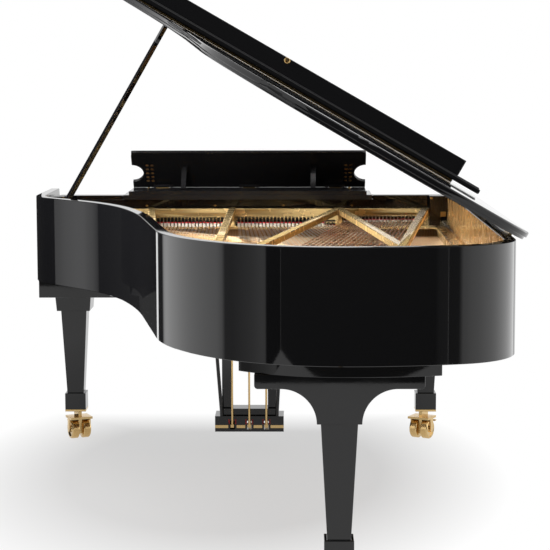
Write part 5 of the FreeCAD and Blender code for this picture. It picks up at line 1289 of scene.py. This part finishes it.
    def lamp(self, name, place, aim, width, height, energy, spread=180, key=True):
        light = bpy.data.lights.new(name, "AREA")
        light.shape = "RECTANGLE"
        light.size = width
        light.size_y = height
        light.energy = energy
        light.spread = math.radians(spread)
        item = linked(name, light)
        item.location = place
        item.rotation_euler = (Vector(aim) - Vector(place)).to_track_quat("-Z", "Y").to_euler()
        item.visible_camera = False
        item.visible_glossy = False
        if key:
            item.light_linking.receiver_collection = self.spared

    def hang_lamps(self):
        self.lamp("overhead", place=(0.2, 0.2, 4.6), aim=(0.2, 0.2, 0), width=5, height=6, energy=120, key=False)
        self.lamp("treble_key", place=(3.0, 0.1, 3.1), aim=(-0.1, 0.1, 0.88), width=1.0, height=1.4, energy=54,
                  spread=45)
        self.lamp("tail_key", place=(0.9, 4.0, 3.0), aim=(-0.1, -0.2, 0.9), width=1.6, height=1.0, energy=9,
                  spread=40)


OPERATORS = (
    GRANDPIANO_OT_stage, GRANDPIANO_OT_case, GRANDPIANO_OT_lid, GRANDPIANO_OT_desk, GRANDPIANO_OT_soundboard,
    GRANDPIANO_OT_plate, GRANDPIANO_OT_strings, GRANDPIANO_OT_dampers, GRANDPIANO_OT_keyboard, GRANDPIANO_OT_action,
    GRANDPIANO_OT_legs, GRANDPIANO_OT_casters, GRANDPIANO_OT_lyre,
)


class GRANDPIANO_PT_pieces(bpy.types.Panel):
    """Lists the pieces of the piano"""
    bl_idname = "GRANDPIANO_PT_pieces"
    bl_label = "Grand piano"
    bl_space_type = "VIEW_3D"
    bl_region_type = "UI"
    bl_category = "Piano"

    def draw(self, context):
        for operator in OPERATORS:
            self.layout.operator(operator.bl_idname)
        for name, kind in SETTINGS.items():
            column = self.layout.column(align=True)
            for key in kind.__annotations__:
                column.prop(getattr(context.scene, name), key)


CLASSES = (*SETTINGS.values(), *OPERATORS, GRANDPIANO_PT_pieces)


def register():
    for item in CLASSES:
        bpy.utils.register_class(item)
    for name, kind in SETTINGS.items():
        setattr(bpy.types.Scene, name, PointerProperty(type=kind))


def unregister():
    for name in SETTINGS:
        delattr(bpy.types.Scene, name)
    for item in reversed(CLASSES):
        bpy.utils.unregister_class(item)


def main():
    register()
    bpy.ops.grandpiano.stage()
    bpy.ops.grandpiano.case()
    bpy.ops.grandpiano.lid()
    bpy.ops.grandpiano.desk()
    bpy.ops.grandpiano.soundboard()
    bpy.ops.grandpiano.plate()
    bpy.ops.grandpiano.strings()
    bpy.ops.grandpiano.dampers()
    bpy.ops.grandpiano.keyboard()
    bpy.ops.grandpiano.action()
    bpy.ops.grandpiano.legs()
    bpy.ops.grandpiano.casters()
    bpy.ops.grandpiano.lyre()


if __name__ == "__main__":
    main()
